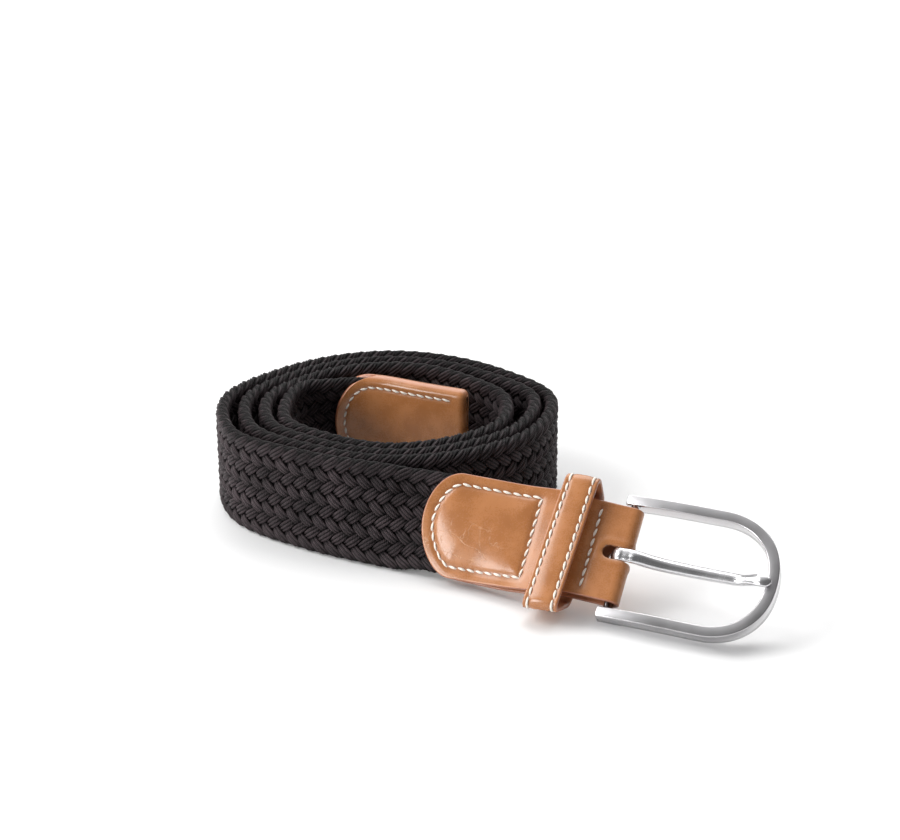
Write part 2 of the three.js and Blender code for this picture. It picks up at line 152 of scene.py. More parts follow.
# Direction from the coil's middle, outermost reach (share of half the coil's width), lean in degrees,
# and how many pitches further in each later turn lies.
COIL = [
    (-90, 0.992, 17, [0, 1.43, 2.47, 3.51]),
    (-120, 0.94, 8, [0, 1.2, 2.28, 3.36]),
    (-150, 1.025, 1, [0, 1.57, 3.0, 4.18]),
    (-180, 0.972, 0, [0, 1.56, 3.05, 4.47]),
    (-210, 0.77, 0, [0, 1.15, 2.4]),
    (-240, 0.672, 0, [0, 1.08, 2.2]),
    (-270, 0.643, 0, [0, 1.08, 2.2]),
    (-300, 0.66, 0, [0, 1.08, 2.25]),
    (-330, 0.75, 0, [0, 1.17, 2.75]),
    (-360, 0.95, 0, [0, 1.22, 3.38]),
    (-390, 0.968, 3, [0, 1.3, 2.75]),
    (-420, 0.908, 6, [0, 1.22, 2.39]),
]
# x and y of the free end, as shares of the coil's width.
FREE_END = [
    (-0.267, 0.079),
    (-0.196, 0.11),
    (-0.117, 0.125),
    (-0.033, 0.1125),
    (0.092, 0.058),
    (0.229, 0.0025),
]

# The braid: every strand runs from edge to edge and back, over two and under two.
STRANDS = 17
HALF_PITCH = 2.52  # along the belt from one crossing to the next
STRAND_HALF_WIDTH = 1.68
STRAND_HALF_THICKNESS = 1.04
STRAND_SLOPE = 1.29  # a strand's length for each length of belt
BRAID_RISE = 1.42  # how far a strand's middle rides out of the belt's middle
BRAID_STEP = 1.05
BRAID_TUCK = 14.0  # how far the braid runs into the leather
BRAID_PIECES = 5

# Sewing.
STITCH_PITCH = 3.3
STITCH_LENGTH = 3.2
THREAD_RADIUS = 0.42
HOLE_RADIUS = 0.3
STITCH_INSET = 3.7
TAB_COLUMNS = (30.2, 9.7)  # the two rows of stitches across the tab, from the bar
PAD_RISE = 1.7
PAD_SOFTNESS = 5.0  # how far in from the stitches the pad rises by two thirds
TIP_STITCH_STOP = 5.5  # from the closed end

# The camera, from the coil's middle, and its angle of view.
CAMERA_PLACE = (21.26, -603.99, 305.82)
CAMERA_DOWN = 25.0
CAMERA_LENS = 74.0
SENSOR_WIDTH = 36.0

# The lights: name, place, what it points at, size and watts.
LIGHTS = [
    ("key_light", (-820, 60, 740), (0, -20, 10), 620, 7.0),
    ("front_light", (-640, -430, 240), (20, -40, 10), 300, 3.0),
    ("back_light", (200, 900, 1100), (100, 200, 0), 1500, 19),
]

LEAF_INSIDE = SEWN_THICKNESS / 2 + CLEARANCE
LEAF_OUTSIDE = LEAF_INSIDE + LEATHER
KEEPER_BACK = LEAF_OUTSIDE + CLEARANCE
KEEPER_FRONT = LEAF_OUTSIDE + KEEPER_ROOM
FOLD_RADIUS = LEAF_INSIDE + LEATHER / 2
FOLD_QUARTER = FOLD_RADIUS * np.pi / 2


def smoothstep(value, low, high):
    """0 below low, 1 above high and 3t^2 - 2t^3 between them."""
    t = np.clip((value - low) / (high - low), 0, 1)
    return t * t * (3 - 2 * t)


def round_share(share, power):
    """The height of a squarish ellipse of unit size: (1 - |share|^power)^(1/power)."""
    return (1 - np.clip(np.abs(share), 0, 1) ** power) ** (1 / power)


def rounded_outline(out_from, out_to, up_from, up_to, radius, steps):
    """A rectangle with round corners, as rows of out and up, counterclockwise from its outer top corner."""
    turns = np.radians(np.linspace(0, 90, steps + 1))
    corners = [(out_to, up_to, 0), (out_from, up_to, 1), (out_from, up_from, 2), (out_to, up_from, 3)]
    inward = {0: (-1, -1), 1: (1, -1), 2: (1, 1), 3: (-1, 1)}
    arcs = []
    for out, up, quarter in corners:
        angle = turns + quarter * np.pi / 2
        middle = (out + inward[quarter][0] * radius, up + inward[quarter][1] * radius)
        arcs.append(np.stack([middle[0] + radius * np.cos(angle), middle[1] + radius * np.sin(angle)], axis=1))
    return np.concatenate(arcs)


def bent_corners(corners, reach, steps):
    """A closed outline with each corner replaced by (1-t)^2 A + 2t(1-t) C + t^2 B, where A and B lie at
    `reach` from the corner C on its two sides."""
    before = np.roll(corners, 1, axis=0) - corners
    after = np.roll(corners, -1, axis=0) - corners
    start = corners + reach * before / np.linalg.norm(before, axis=1, keepdims=True)
    end = corners + reach * after / np.linalg.norm(after, axis=1, keepdims=True)
    t = np.linspace(0, 1, steps)[None, :, None]
    bent = (1 - t) ** 2 * start[:, None] + 2 * t * (1 - t) * corners[:, None] + t**2 * end[:, None]
    return bent.reshape(-1, 2)


def resting_outlines():
    """The outlines across the belt that touch the ground."""
    strap = STRAP_THICKNESS / 2
    tip = TIP_THICKNESS / 2
    back = KEEPER_BACK + KEEPER_LEATHER
    front = KEEPER_FRONT + KEEPER_LEATHER
    return {
        "strap": rounded_outline(-strap, strap, -STRAP_WIDTH / 2, STRAP_WIDTH / 2, STRAP_EDGE_RADIUS, 2),
        "tab": rounded_outline(-LEAF_OUTSIDE, LEAF_OUTSIDE, -TAB_WIDTH / 2, TAB_WIDTH / 2, 0, 1),
        "keeper": rounded_outline(-back, front, -KEEPER_SPAN / 2, KEEPER_SPAN / 2, KEEPER_RADIUS, 4),
        "tip": rounded_outline(-tip, tip, -TIP_WIDTH / 2, TIP_WIDTH / 2, TIP_CORNER, 2),
    }


def resting_height(outline, lean):
    """How high the middle line lies when the leaning outline's lowest point touches the ground."""
    angle = np.radians(lean)
    return np.max(-(outline[:, 1] * np.cos(angle) + outline[:, 0] * np.sin(angle)))


def route_rows():
    """The belt's way as x, y, lean, what rests and how far it is held up: tail, turns, free end."""
    pitch = STRAP_THICKNESS + TURN_GAP
    rows = [(x * COIL_WIDTH, y * COIL_WIDTH, *rest) for x, y, *rest in TAIL]
    for turn in range(4):
        for direction, reach, lean, turns in COIL:
            if turn < len(turns):
                distance = reach * COIL_WIDTH / 2 - turns[turn] * pitch
                angle = np.radians(direction)
                place = (distance * np.cos(angle), distance * np.sin(angle))
                rows.append((*place, lean * LEAN_KEPT**turn, "strap", 0.0))
    rows += [(x * COIL_WIDTH, y * COIL_WIDTH, 0.0, "tip", 0.0) for x, y in FREE_END]
    return rows


def smooth_curve(points, leans, steps):
    """A centripetal Catmull-Rom curve through the points: a cubic between each two of them, whose end
    slopes come from the neighbours and from the square roots of their distances. The lean is eased."""
    padded = np.vstack([2 * points[0] - points[1], points, 2 * points[-1] - points[-2]])
    gaps = np.sqrt(np.linalg.norm(np.diff(padded, axis=0), axis=1))[:, None]
    p0, p1, p2, p3 = padded[:-3], padded[1:-2], padded[2:-1], padded[3:]
    d0, d1, d2 = gaps[:-2], gaps[1:-1], gaps[2:]
    slope1 = ((p1 - p0) / d0 - (p2 - p0) / (d0 + d1) + (p2 - p1) / d1) * d1
    slope2 = ((p2 - p1) / d1 - (p3 - p1) / (d1 + d2) + (p3 - p2) / d2) * d1
    t = np.linspace(0, 1, steps, endpoint=False)[None, :, None]
    squared = -3 * p1 + 3 * p2 - 2 * slope1 - slope2
    cubed = 2 * p1 - 2 * p2 + slope1 + slope2
    places = p1[:, None] + slope1[:, None] * t + squared[:, None] * t**2 + cubed[:, None] * t**3
    ease = 0.5 * smoothstep(t[..., 0], 0, 1) + 0.5 * t[..., 0]
    eased = leans[:-1, None] * (1 - ease) + leans[1:, None] * ease
    places = np.vstack([places.reshape(-1, 3), points[-1]])
    return places, np.append(eased.ravel(), leans[-1])


class Route:
    """The belt's middle line with its directions, and the way from belt coordinates to space."""

    def __init__(self, shift):
        rows = route_rows()
        outlines = resting_outlines()
        heights = [resting_height(outlines[rests], lean) + lifted for _, _, lean, rests, lifted in rows]
        points = np.array([(row[0], row[1], height) for row, height in zip(rows, heights)])
        leans = np.radians([row[2] for row in rows])
        places, self.lean = smooth_curve(points, leans, 200)
        self.start = places[0]
        self.shift = np.zeros(3) if shift is None else shift
        self.place = places
        self.distance = np.append(0, np.cumsum(np.linalg.norm(np.diff(places, axis=0), axis=1)))
        self.length = self.distance[-1]
        travel = np.gradient(places, axis=0)
        self.heading = np.unwrap(np.arctan2(travel[:, 1], travel[:, 0]))

    def axes(self, distance):
        """The place, and the directions along, up across and out of the belt, at each distance."""
        inside = np.clip(distance, 0, self.length)
        heading = np.interp(inside, self.distance, self.heading)
        lean = np.interp(inside, self.distance, self.lean)
        along = np.stack([np.cos(heading), np.sin(heading), 0 * heading], axis=-1)
        across = [np.sin(lean) * np.sin(heading), -np.sin(lean) * np.cos(heading), np.cos(lean)]
        up = np.stack(across, axis=-1)
        place = [np.interp(inside, self.distance, self.place[:, axis]) for axis in range(3)]
        place = np.stack(place, axis=-1) + along * (distance - inside)[..., None] + self.shift
        return place, along, up, np.cross(up, along)

    def points(self, distance, up, out):
        """Belt coordinates to places: middle line + up x across direction + out x face direction."""
        distance, up, out = np.broadcast_arrays(distance, up, out)
        place, _, across, face = self.axes(distance)
        return place + across * up[..., None] + face * out[..., None]


def grid_quads(rows, columns, wrap_columns=False, start=0):
    """The quads of a grid of points numbered row by row."""
    last = columns if wrap_columns else columns - 1
    i, j = np.meshgrid(np.arange(rows - 1), np.arange(last), indexing="ij")
    k = (j + 1) % columns
    corners = [i * columns + j, (i + 1) * columns + j, (i + 1) * columns + k, i * columns + k]
    return np.stack(corners, axis=-1).reshape(-1, 4) + start


def split(quads):
    """Each quad as two triangles."""
    return np.concatenate([quads[:, [0, 1, 2]], quads[:, [0, 2, 3]]])


def tubes(rings):
    """Closed tubes through rings[tube, station, corner], each end a fan round the ring's middle."""
    count, stations, corners, _ = rings.shape
    size = stations * corners
    first = np.arange(count)[:, None] * size
    body = (split(grid_quads(stations, corners, True))[None] + first[:, :, None]).reshape(-1, 3)
    j = np.arange(corners)[None]
    k = (j + 1) % corners
    middle = count * size + 2 * np.arange(count)[:, None] + 0 * j
    last = first + size - corners
    fans = [
        np.stack([first + k, first + j, middle], axis=-1).reshape(-1, 3),
        np.stack([last + j, last + k, middle + 1], axis=-1).reshape(-1, 3),
    ]
    points = np.concatenate([rings.reshape(-1, 3), rings[:, [0, -1]].mean(axis=2).reshape(-1, 3)])
    return points, np.concatenate([body, *fans])


def welded(points, triangles, values):
    """Points closer than a thousandth merged, and the triangles that closed up left out."""
    _, first, merged = np.unique(np.round(points, 3), axis=0, return_index=True, return_inverse=True)
    triangles = merged.reshape(-1)[triangles]
    a, b, c = triangles.T
    open_ones = (a != b) & (b != c) & (c != a)
    return points[first], triangles[open_ones], {name: value[first] for name, value in values.items()}


def piece(name, points, triangles, finish, values=None):
    """A smooth mesh with a material. Its faces are turned outward by the sign of its volume."""
    corners = points[triangles]
    volume = np.sum(corners[:, 0] * np.cross(corners[:, 1], corners[:, 2]))
    if volume < 0:
        triangles = triangles[:, ::-1]
    mesh = bpy.data.meshes.new(name)
    mesh.vertices.add(len(points))
    mesh.vertices.foreach_set("co", (points / 1000).astype(np.float32).ravel())
    mesh.loops.add(triangles.size)
    mesh.loops.foreach_set("vertex_index", np.ascontiguousarray(triangles, np.int32).ravel())
    mesh.polygons.add(len(triangles))
    mesh.polygons.foreach_set("loop_start", np.arange(0, triangles.size, 3, dtype=np.int32))
    mesh.polygons.foreach_set("use_smooth", np.ones(len(triangles), bool))
    for key, value in (values or {}).items():
        layer = mesh.attributes.new(key, "FLOAT", "POINT")
        layer.data.foreach_set("value", np.ascontiguousarray(value, np.float32))
    mesh.update()
    mesh.validate()
    mesh.materials.append(finish)
    made = bpy.data.objects.new(name, mesh)
    bpy.context.scene.collection.objects.link(made)
    return made


class Link:
    """A socket that can be added, subtracted, multiplied, divided and raised to a power."""

    def __init__(self, look, socket):
        self.look = look
        self.socket = socket

    def __add__(self, other):
        return self.look.maths("ADD", self, other)

    def __radd__(self, other):
        return self.look.maths("ADD", other, self)

    def __sub__(self, other):
        return self.look.maths("SUBTRACT", self, other)

    def __rsub__(self, other):
        return self.look.maths("SUBTRACT", other, self)

    def __mul__(self, other):
        return self.look.maths("MULTIPLY", self, other)

    def __rmul__(self, other):
        return self.look.maths("MULTIPLY", other, self)

    def __truediv__(self, other):
        return self.look.maths("DIVIDE", self, other)

    def __pow__(self, other):
        return self.look.maths("POWER", self, other)


class Look:
    """A material whose nodes are made by one method."""

    def __init__(self, name):
        self.material = bpy.data.materials.new(name)
        self.material.use_nodes = True
        self.tree = self.material.node_tree
        self.shader = self.tree.nodes["Principled BSDF"]

    def node(self, kind, settings=None, inputs=None, output=0):
        """A node of that type, with its settings first and then its inputs, and one of its outputs."""
        made = self.tree.nodes.new(kind)
        for key, value in (settings or {}).items():
            if key == "stops":
                self.ramp(made.color_ramp, value)
            else:
                setattr(made, key, value)
        for key, value in (inputs or {}).items():
            self.feed(made.inputs[key], value)
        return Link(self, made.outputs[output])

    def ramp(self, ramp, stops):
        """A ramp's stops, each a place and a colour."""
        for place, colour in stops[len(ramp.elements):]:
            ramp.elements.new(place)
        for element, (place, colour) in zip(ramp.elements, stops):
            element.position = place
            element.color = (*colour, 1)

    def feed(self, socket, value):
        if isinstance(value, Link):
            self.tree.links.new(value.socket, socket)
        else:
            socket.default_value = value

    def maths(self, operation, first, second):
        return self.node("ShaderNodeMath", {"operation": operation}, {0: first, 1: second})

    def value(self, name):
        """One of the piece's own values."""
        return self.node("ShaderNodeAttribute", {"attribute_name": name}, output="Fac")

    def noise(self, size, detail=3.0, roughness=0.5, stretch=None):
        """Noise whose blobs are about `size` millimetres, on the object's own coordinates."""
        place = self.node("ShaderNodeTexCoord", output="Object")
        if stretch:
            place = self.node("ShaderNodeMapping", None, {"Vector": place, "Scale": stretch})
        inputs = {"Vector": place, "Scale": 1000 / size, "Detail": detail, "Roughness": roughness}
        return self.node("ShaderNodeTexNoise", None, inputs, "Fac")

    def fade(self, value, low, high, to_low=0.0, to_high=1.0):
        """A value taken smoothly from one range to another."""
        settings = {"interpolation_type": "SMOOTHSTEP"}
        inputs = {"Value": value, "From Min": low, "From Max": high, "To Min": to_low, "To Max": to_high}
        return self.node("ShaderNodeMapRange", settings, inputs)

    def blend(self, share, first, second):
        """A mix of two colours."""
        inputs = {"Factor": share, 6: self.colour(first), 7: self.colour(second)}
        return self.node("ShaderNodeMix", {"data_type": "RGBA"}, inputs, 2)

    def colour(self, value):
        return value if isinstance(value, Link) else (*value, 1)

    def bump(self, height, depth, under=None):
        """A bump of a height in millimetres."""
        inputs = {"Height": height, "Distance": depth / 1000, "Strength": 1.0}
        if under:
            inputs["Normal"] = under
        return self.node("ShaderNodeBump", None, inputs, "Normal")

    def finish(self, **inputs):
        """The shader's own inputs, by their names with underscores for spaces."""
        for key, value in inputs.items():
            self.feed(self.shader.inputs[key.replace("_", " ")], value)
        return self.material


def braid_finish():
    """Charcoal cords: painted shade between the cords of a strand and where it dives under another, fine
    twisted threads, fuzz and a soft sheen.
    """
    look = Look("charcoal_braid")
    along = look.value("along")
    across = look.value("across")
    groove = look.value("groove")
    thread = look.node("ShaderNodeMath", {"operation": "SINE"}, {0: along * 12.0 + across * 5.0})
    fuzz = look.noise(0.3, 4, 0.65)
    broad = look.noise(11, 2)
    tint = look.fade(fuzz * 0.6 + broad * 0.4 + thread * 0.06, 0.36, 0.64)
    cord = look.blend(tint, (0.008, 0.005, 0.0056), (0.07, 0.0515, 0.056))
    # Painted shade: near black between the cords, where a strand dives and on the strands' hidden ends.
    colour = look.blend(look.fade(groove, 0.1, 0.9) * 0.93, cord, (0.002, 0.0014, 0.0015))
    return look.finish(
        Base_Color=colour,
        Roughness=look.fade(fuzz, 0.3, 0.7, 0.4, 0.65),
        Normal=look.bump(thread * 0.4 + fuzz * 0.9, 0.16),
        Sheen_Weight=0.02,
        Sheen_Roughness=0.5,
        Sheen_Tint=(0.75, 0.7, 0.72, 1),
        Specular_IOR_Level=0.22,
    )


def leather_finish(name, tone):
    """Cognac leather: cloudy colour, pores, fine wandering creases where it bends, with a painted highlight
    along them, and painted edges.
    """
    look = Look(name)
    edge = look.value("edge")
    seam = look.value("seam")
    crease_and_highlight = look.value("crease_and_highlight")
    clouds = look.noise(9, 4, 0.55)
    pores = look.noise(0.5, 3, 0.6)
    fine = look.noise(0.2, 2, 0.6)
    long_lines = wrinkles(look, 1.0, 2.6, 0.014)
    short_lines = wrinkles(look, 2.4, 1.2, 0.01)
    patches = look.fade(crease_and_highlight * (look.noise(6, 2) + 0.5), 0.3, 0.95)
    line = (long_lines * 0.8 + short_lines * 0.6) * patches
    body = look.blend(look.fade(clouds, 0.3, 0.72), tone["deep"], tone["light"])
    # Painted highlight: the crease lines, bumped in below, are also painted lighter than the leather.
    body = look.blend(line * 0.62, body, tone["crease_and_highlight"])
    body = look.blend(seam * 0.55, body, tone["seam"])
    body = look.blend(edge, body, tone["edge"])
    relief = pores * 0.3 + fine * 0.12 - line * 1.3 + clouds * 0.8
    return look.finish(
        Base_Color=body,
        Roughness=look.fade(pores * 0.5 + clouds * 0.5 + edge * 0.15 + line * 0.1, 0.35, 0.75, 0.23, 0.38),
        Normal=look.bump(relief, 0.055),
        Coat_Weight=0.3,
        Coat_Roughness=0.16,
        Specular_IOR_Level=0.5,
    )


def wrinkles(look, stretch_run, stretch_up, thinness):
    """Thin lines where a noise, stretched along or across the leather, passes through its middle."""
    place = look.node(
        "ShaderNodeCombineXYZ", None, {"X": look.value("run") * stretch_run, "Y": look.value("up") * stretch_up}
    )
    inputs = {"Vector": place, "Scale": 0.06, "Detail": 5.0, "Roughness": 0.5, "Distortion": 0.3}
    cloud = look.node("ShaderNodeTexNoise", None, inputs, "Fac")
    gap = look.node("ShaderNodeMath", {"operation": "ABSOLUTE"}, {0: cloud - 0.5})
    return look.fade(gap, 0.0, thinness, 1.0, 0.0)


def thread_finish():
    """Cream waxed thread, and the needle holes between two stitches, painted dark as painted shade."""
    look = Look("cream_thread")
    fibre = look.noise(0.25, 3, 0.6)
    cream = look.blend(look.fade(fibre, 0.3, 0.7), (0.84, 0.74, 0.62), (0.97, 0.93, 0.87))
    # Painted shade: the needle holes are near black.
    colour = look.blend(look.value("hole_shade"), cream, (0.05, 0.018, 0.009))
    return look.finish(Base_Color=colour, Roughness=0.55, Normal=look.bump(fibre, 0.08))


def nickel_finish():
    """Satin nickel faces with polished walls."""
    look = Look("satin_nickel")
    satin = look.value("satin")
    brushed = look.noise(0.25, 2, 0.6)
    smudge = look.noise(12, 3)
    rough = look.fade(satin, 0.0, 1.0, 0.15, 0.3) + look.fade(smudge, 0.3, 0.7, -0.02, 0.03)
    return look.finish(
        Base_Color=look.blend(look.fade(smudge, 0.3, 0.7), (0.54, 0.53, 0.54), (0.61, 0.6, 0.615)),
        Metallic=1.0,
        Roughness=rough,
        Normal=look.bump(brushed * satin, 0.006),
    )


def chrome_finish():
    """A polished prong."""
    look = Look("polished_prong")
    smudge = look.noise(8, 3)
    return look.finish(
        Base_Color=(0.7, 0.695, 0.71, 1),
        Metallic=1.0,
        Roughness=look.fade(smudge, 0.3, 0.7, 0.2, 0.28),
    )


def strand_course(route):
    """The middle of every strand in belt coordinates, by strand and station.

    A strand goes up from edge to edge and down again like a triangle wave with soft corners. Its depth
    is a sine over every four crossings, flattened, that changes sign on the way down, so that the strand
    goes over two and under two and wraps round both edges."""
    start = TAB_LENGTH - BRAID_TUCK
    end = route.length - TIP_LENGTH + TIP_MOUTH_DEPTH + BRAID_TUCK / 2
    distance = np.arange(start, end, BRAID_STEP)[None]
    place = (distance / HALF_PITCH + 2 * np.arange(STRANDS)[:, None]) % (2 * STRANDS)
    row = STRANDS - np.abs(place - STRANDS)
    softness = 0.99
    wave = np.arcsin(softness * np.sin(np.pi * (place / STRANDS - 0.5))) / np.arcsin(softness)
    edge_row = 1.5
    from_edge = np.minimum(row, STRANDS - row)
    middle_phase = np.sin(np.pi * (row - 0.5) / 2)
    edge_phase = np.sin(np.pi / 2 * from_edge / edge_row) * np.where(row < STRANDS / 2, 1, -1)
    phase = np.where(from_edge < edge_row, edge_phase, middle_phase) * np.where(place < STRANDS, 1, -1)
    flatness = 0.6
    depth = np.tanh(flatness * phase) / np.tanh(flatness)
    return distance + 0 * place, wave, depth, place


def section_of_strand():
    """Three cords side by side as a flat ring: shares of half the width and thickness, and how much painted
    shade each corner gets: full deep between two cords and at the strand's sides, none on a cord's top."""
    side = [(0.88, 0.6, 0.0), (0.54, 0.86, 0.0), (0.34, 0.22, 1.0), (0.17, 1.0, 0.0)]
    half = np.array(side + [(-wide, thick, deep) for wide, thick, deep in side[::-1]])
    ends = np.array([(1.0, 0.0, 1.0), (-1.0, 0.0, 1.0)])
    return np.concatenate([ends[:1], half, ends[1:], half[::-1] * (1, -1, 1)])


def braid_pieces(route, finish):
    """The strap as strands, a few to each piece."""
    distance, wave, depth, place = strand_course(route)
    to_tab = smoothstep(distance, TAB_LENGTH - 2, TAB_LENGTH + SEWN_BLEND)
    to_tip = smoothstep(route.length - distance, TIP_LENGTH - 2, TIP_LENGTH + SEWN_BLEND)
    full = np.minimum(to_tab, to_tip)
    thin = SEWN_THICKNESS / STRAP_THICKNESS
    squeeze = thin + (1 - thin) * full
    half_width = (SEWN_WIDTH + (STRAP_WIDTH - SEWN_WIDTH) * full) / 2 - STRAND_HALF_THICKNESS
    course = np.stack([distance, wave * half_width, depth * BRAID_RISE * squeeze], axis=-1)
    travel = np.gradient(course, axis=1)
    travel /= np.linalg.norm(travel, axis=-1, keepdims=True)
    angle = strand_roll(place)
    facing = np.stack([0 * angle, -np.sin(angle), np.cos(angle)], axis=-1)
    side = np.cross(travel, facing)
    side /= np.linalg.norm(side, axis=-1, keepdims=True)
    facing = np.cross(side, travel)
    section = section_of_strand()
    plump = (0.82 + 0.2 * np.abs(depth))[:, :, None, None]
    wide = side[:, :, None] * (section[:, 0] * STRAND_HALF_WIDTH)[None, None, :, None] * plump
    thick = facing[:, :, None] * (section[:, 1] * STRAND_HALF_THICKNESS)[None, None, :, None]
    rings = course[:, :, None] + wide + thick * squeeze[:, :, None, None]
    rings = route.points(rings[..., 0], rings[..., 1], rings[..., 2])
    along = distance[:, :, None] * STRAND_SLOPE + 0 * section[:, 0]
    across = section[:, 0] * STRAND_HALF_WIDTH + 0 * along
    # Painted shade where a strand dives under its neighbours, on top of the painted shade between its cords.
    dive_shade = smoothstep(0.85 - np.abs(depth), 0, 0.7)[:, :, None]
    groove = np.maximum(section[:, 2] + 0 * along, 0.95 * dive_shade)
    made = []
    for number, strands in enumerate(np.array_split(np.arange(STRANDS), BRAID_PIECES)):
        points, triangles = tubes(rings[strands])
        ends = np.zeros(2 * len(strands))
        values = {
            "along": np.append(along[strands].ravel(), ends),
            "across": np.append(across[strands].ravel(), ends),
            # The tubes' end caps get full painted shade.
            "groove": np.append(groove[strands].ravel(), ends + 1),
        }
        made.append(piece(f"braid_{number + 1}", points, triangles, finish, values))
    return made


def strand_roll(place):
    """How far a strand's flat side has rolled: half a turn round the top edge and back at the bottom."""
    over_top = smoothstep(place, STRANDS - 1, STRANDS + 1)
    before_bottom = smoothstep(place, 2 * STRANDS - 1, 2 * STRANDS + 1)
    after_bottom = 1 - smoothstep(place + 2 * STRANDS, 2 * STRANDS - 1, 2 * STRANDS + 1)
    return np.pi * (over_top - before_bottom + after_bottom)


def near(points, path):
    """The distance from each point to the nearest place on a path of straight pieces."""
    start, step = path[:-1], np.diff(path, axis=0)
    size = np.sum(step**2, axis=1) + 1e-12
    flat = points.reshape(-1, 2)
    best = np.full(len(flat), np.inf)
    for a, d, n in zip(start, step, size):
        share = np.clip(((flat - a) @ d) / n, 0, 1)
        best = np.minimum(best, np.linalg.norm(flat - a - share[:, None] * d, axis=1))
    return best.reshape(points.shape[:-1])


def sewn_path(corners, spacing=0.5):
    """A path through corners, with points at even distances."""
    corners = np.asarray(corners, float)
    lengths = np.append(0, np.cumsum(np.linalg.norm(np.diff(corners, axis=0), axis=1)))
    even = np.linspace(0, lengths[-1], max(2, int(lengths[-1] / spacing) + 1))
    return np.stack([np.interp(even, lengths, corners[:, axis]) for axis in range(2)], axis=-1)


def stitches(path, surface, slant=0.16):
    """Threads along a path on leather, and dark blobs of painted shade for the needle holes between them,
    as rings of closed tubes.

    A thread's radius is r (1 - |t|^2.4)^0.75 and its rise 1 - t^2 along it, with t from -1 to 1."""
    lengths = np.append(0, np.cumsum(np.linalg.norm(np.diff(path, axis=0), axis=1)))
    count = max(1, round(lengths[-1] / STITCH_PITCH))
    middles = (np.arange(count) + 0.5) * lengths[-1] / count
    t = np.linspace(-1, 1, 9)
    pointed = np.clip(1 - np.abs(t) ** 2.4, 0.03, 1) ** 0.75
    lift = 0.32 * (1 - t**2) - 0.06
    thread = grains(path, lengths, middles, surface, slant, STITCH_LENGTH / 2 * t, THREAD_RADIUS * pointed, lift)
    joints = np.arange(count + 1) * lengths[-1] / count
    round_end = np.sqrt(np.clip(1 - t**2, 0.03, 1))
    # Dark blobs of painted shade where the needle holes are.
    hole_shade = grains(path, lengths, joints, surface, 0, HOLE_RADIUS * t, HOLE_RADIUS * round_end, 0 * t - 0.3)
    return thread, hole_shade


def grains(path, lengths, at, surface, slant, run, radius, lift):
    """Small closed shapes at distances along a path, each round in section with its own radius and rise."""
    middle = np.stack([np.interp(at, lengths, path[:, axis]) for axis in range(2)], axis=-1)
    ahead = np.stack([np.interp(at + 0.4, lengths, path[:, axis]) for axis in range(2)], axis=-1)
    behind = np.stack([np.interp(at - 0.4, lengths, path[:, axis]) for axis in range(2)], axis=-1)
    along = ahead - behind
    along /= np.linalg.norm(along, axis=1, keepdims=True)
    across = np.stack([-along[:, 1], along[:, 0]], axis=-1)
    along = along * np.cos(slant) + across * np.sin(slant)
    across = np.stack([-along[:, 1], along[:, 0]], axis=-1)
    around = np.linspace(0, 2 * np.pi, 8, endpoint=False)
    side = radius[:, None] * np.cos(around)
    rise = lift[:, None] + 0.8 * radius[:, None] * np.sin(around)
    forward = along[:, None, None] * run[:, None, None]
    sideways = across[:, None, None] * side[..., None]
    flat = middle[:, None, None] + forward + sideways
    return surface(flat[..., 0], flat[..., 1], rise + 0 * flat[..., 0])


def leaf_half_width(distance, end):
    """Half the tab's width: a straight strip with a narrower neck and a squarish round end."""
    straight = smoothstep(distance, TAB_NECK_LENGTH, KEEPER_AT + KEEPER_WIDTH / 2)
    half = (TAB_NECK_WIDTH + (TAB_WIDTH - TAB_NECK_WIDTH) * straight) / 2
    into_end = np.clip((distance - (end - TAB_END_DEPTH)) / TAB_END_DEPTH, 0, 1)
    return half * round_share(into_end, TAB_END_POWER)


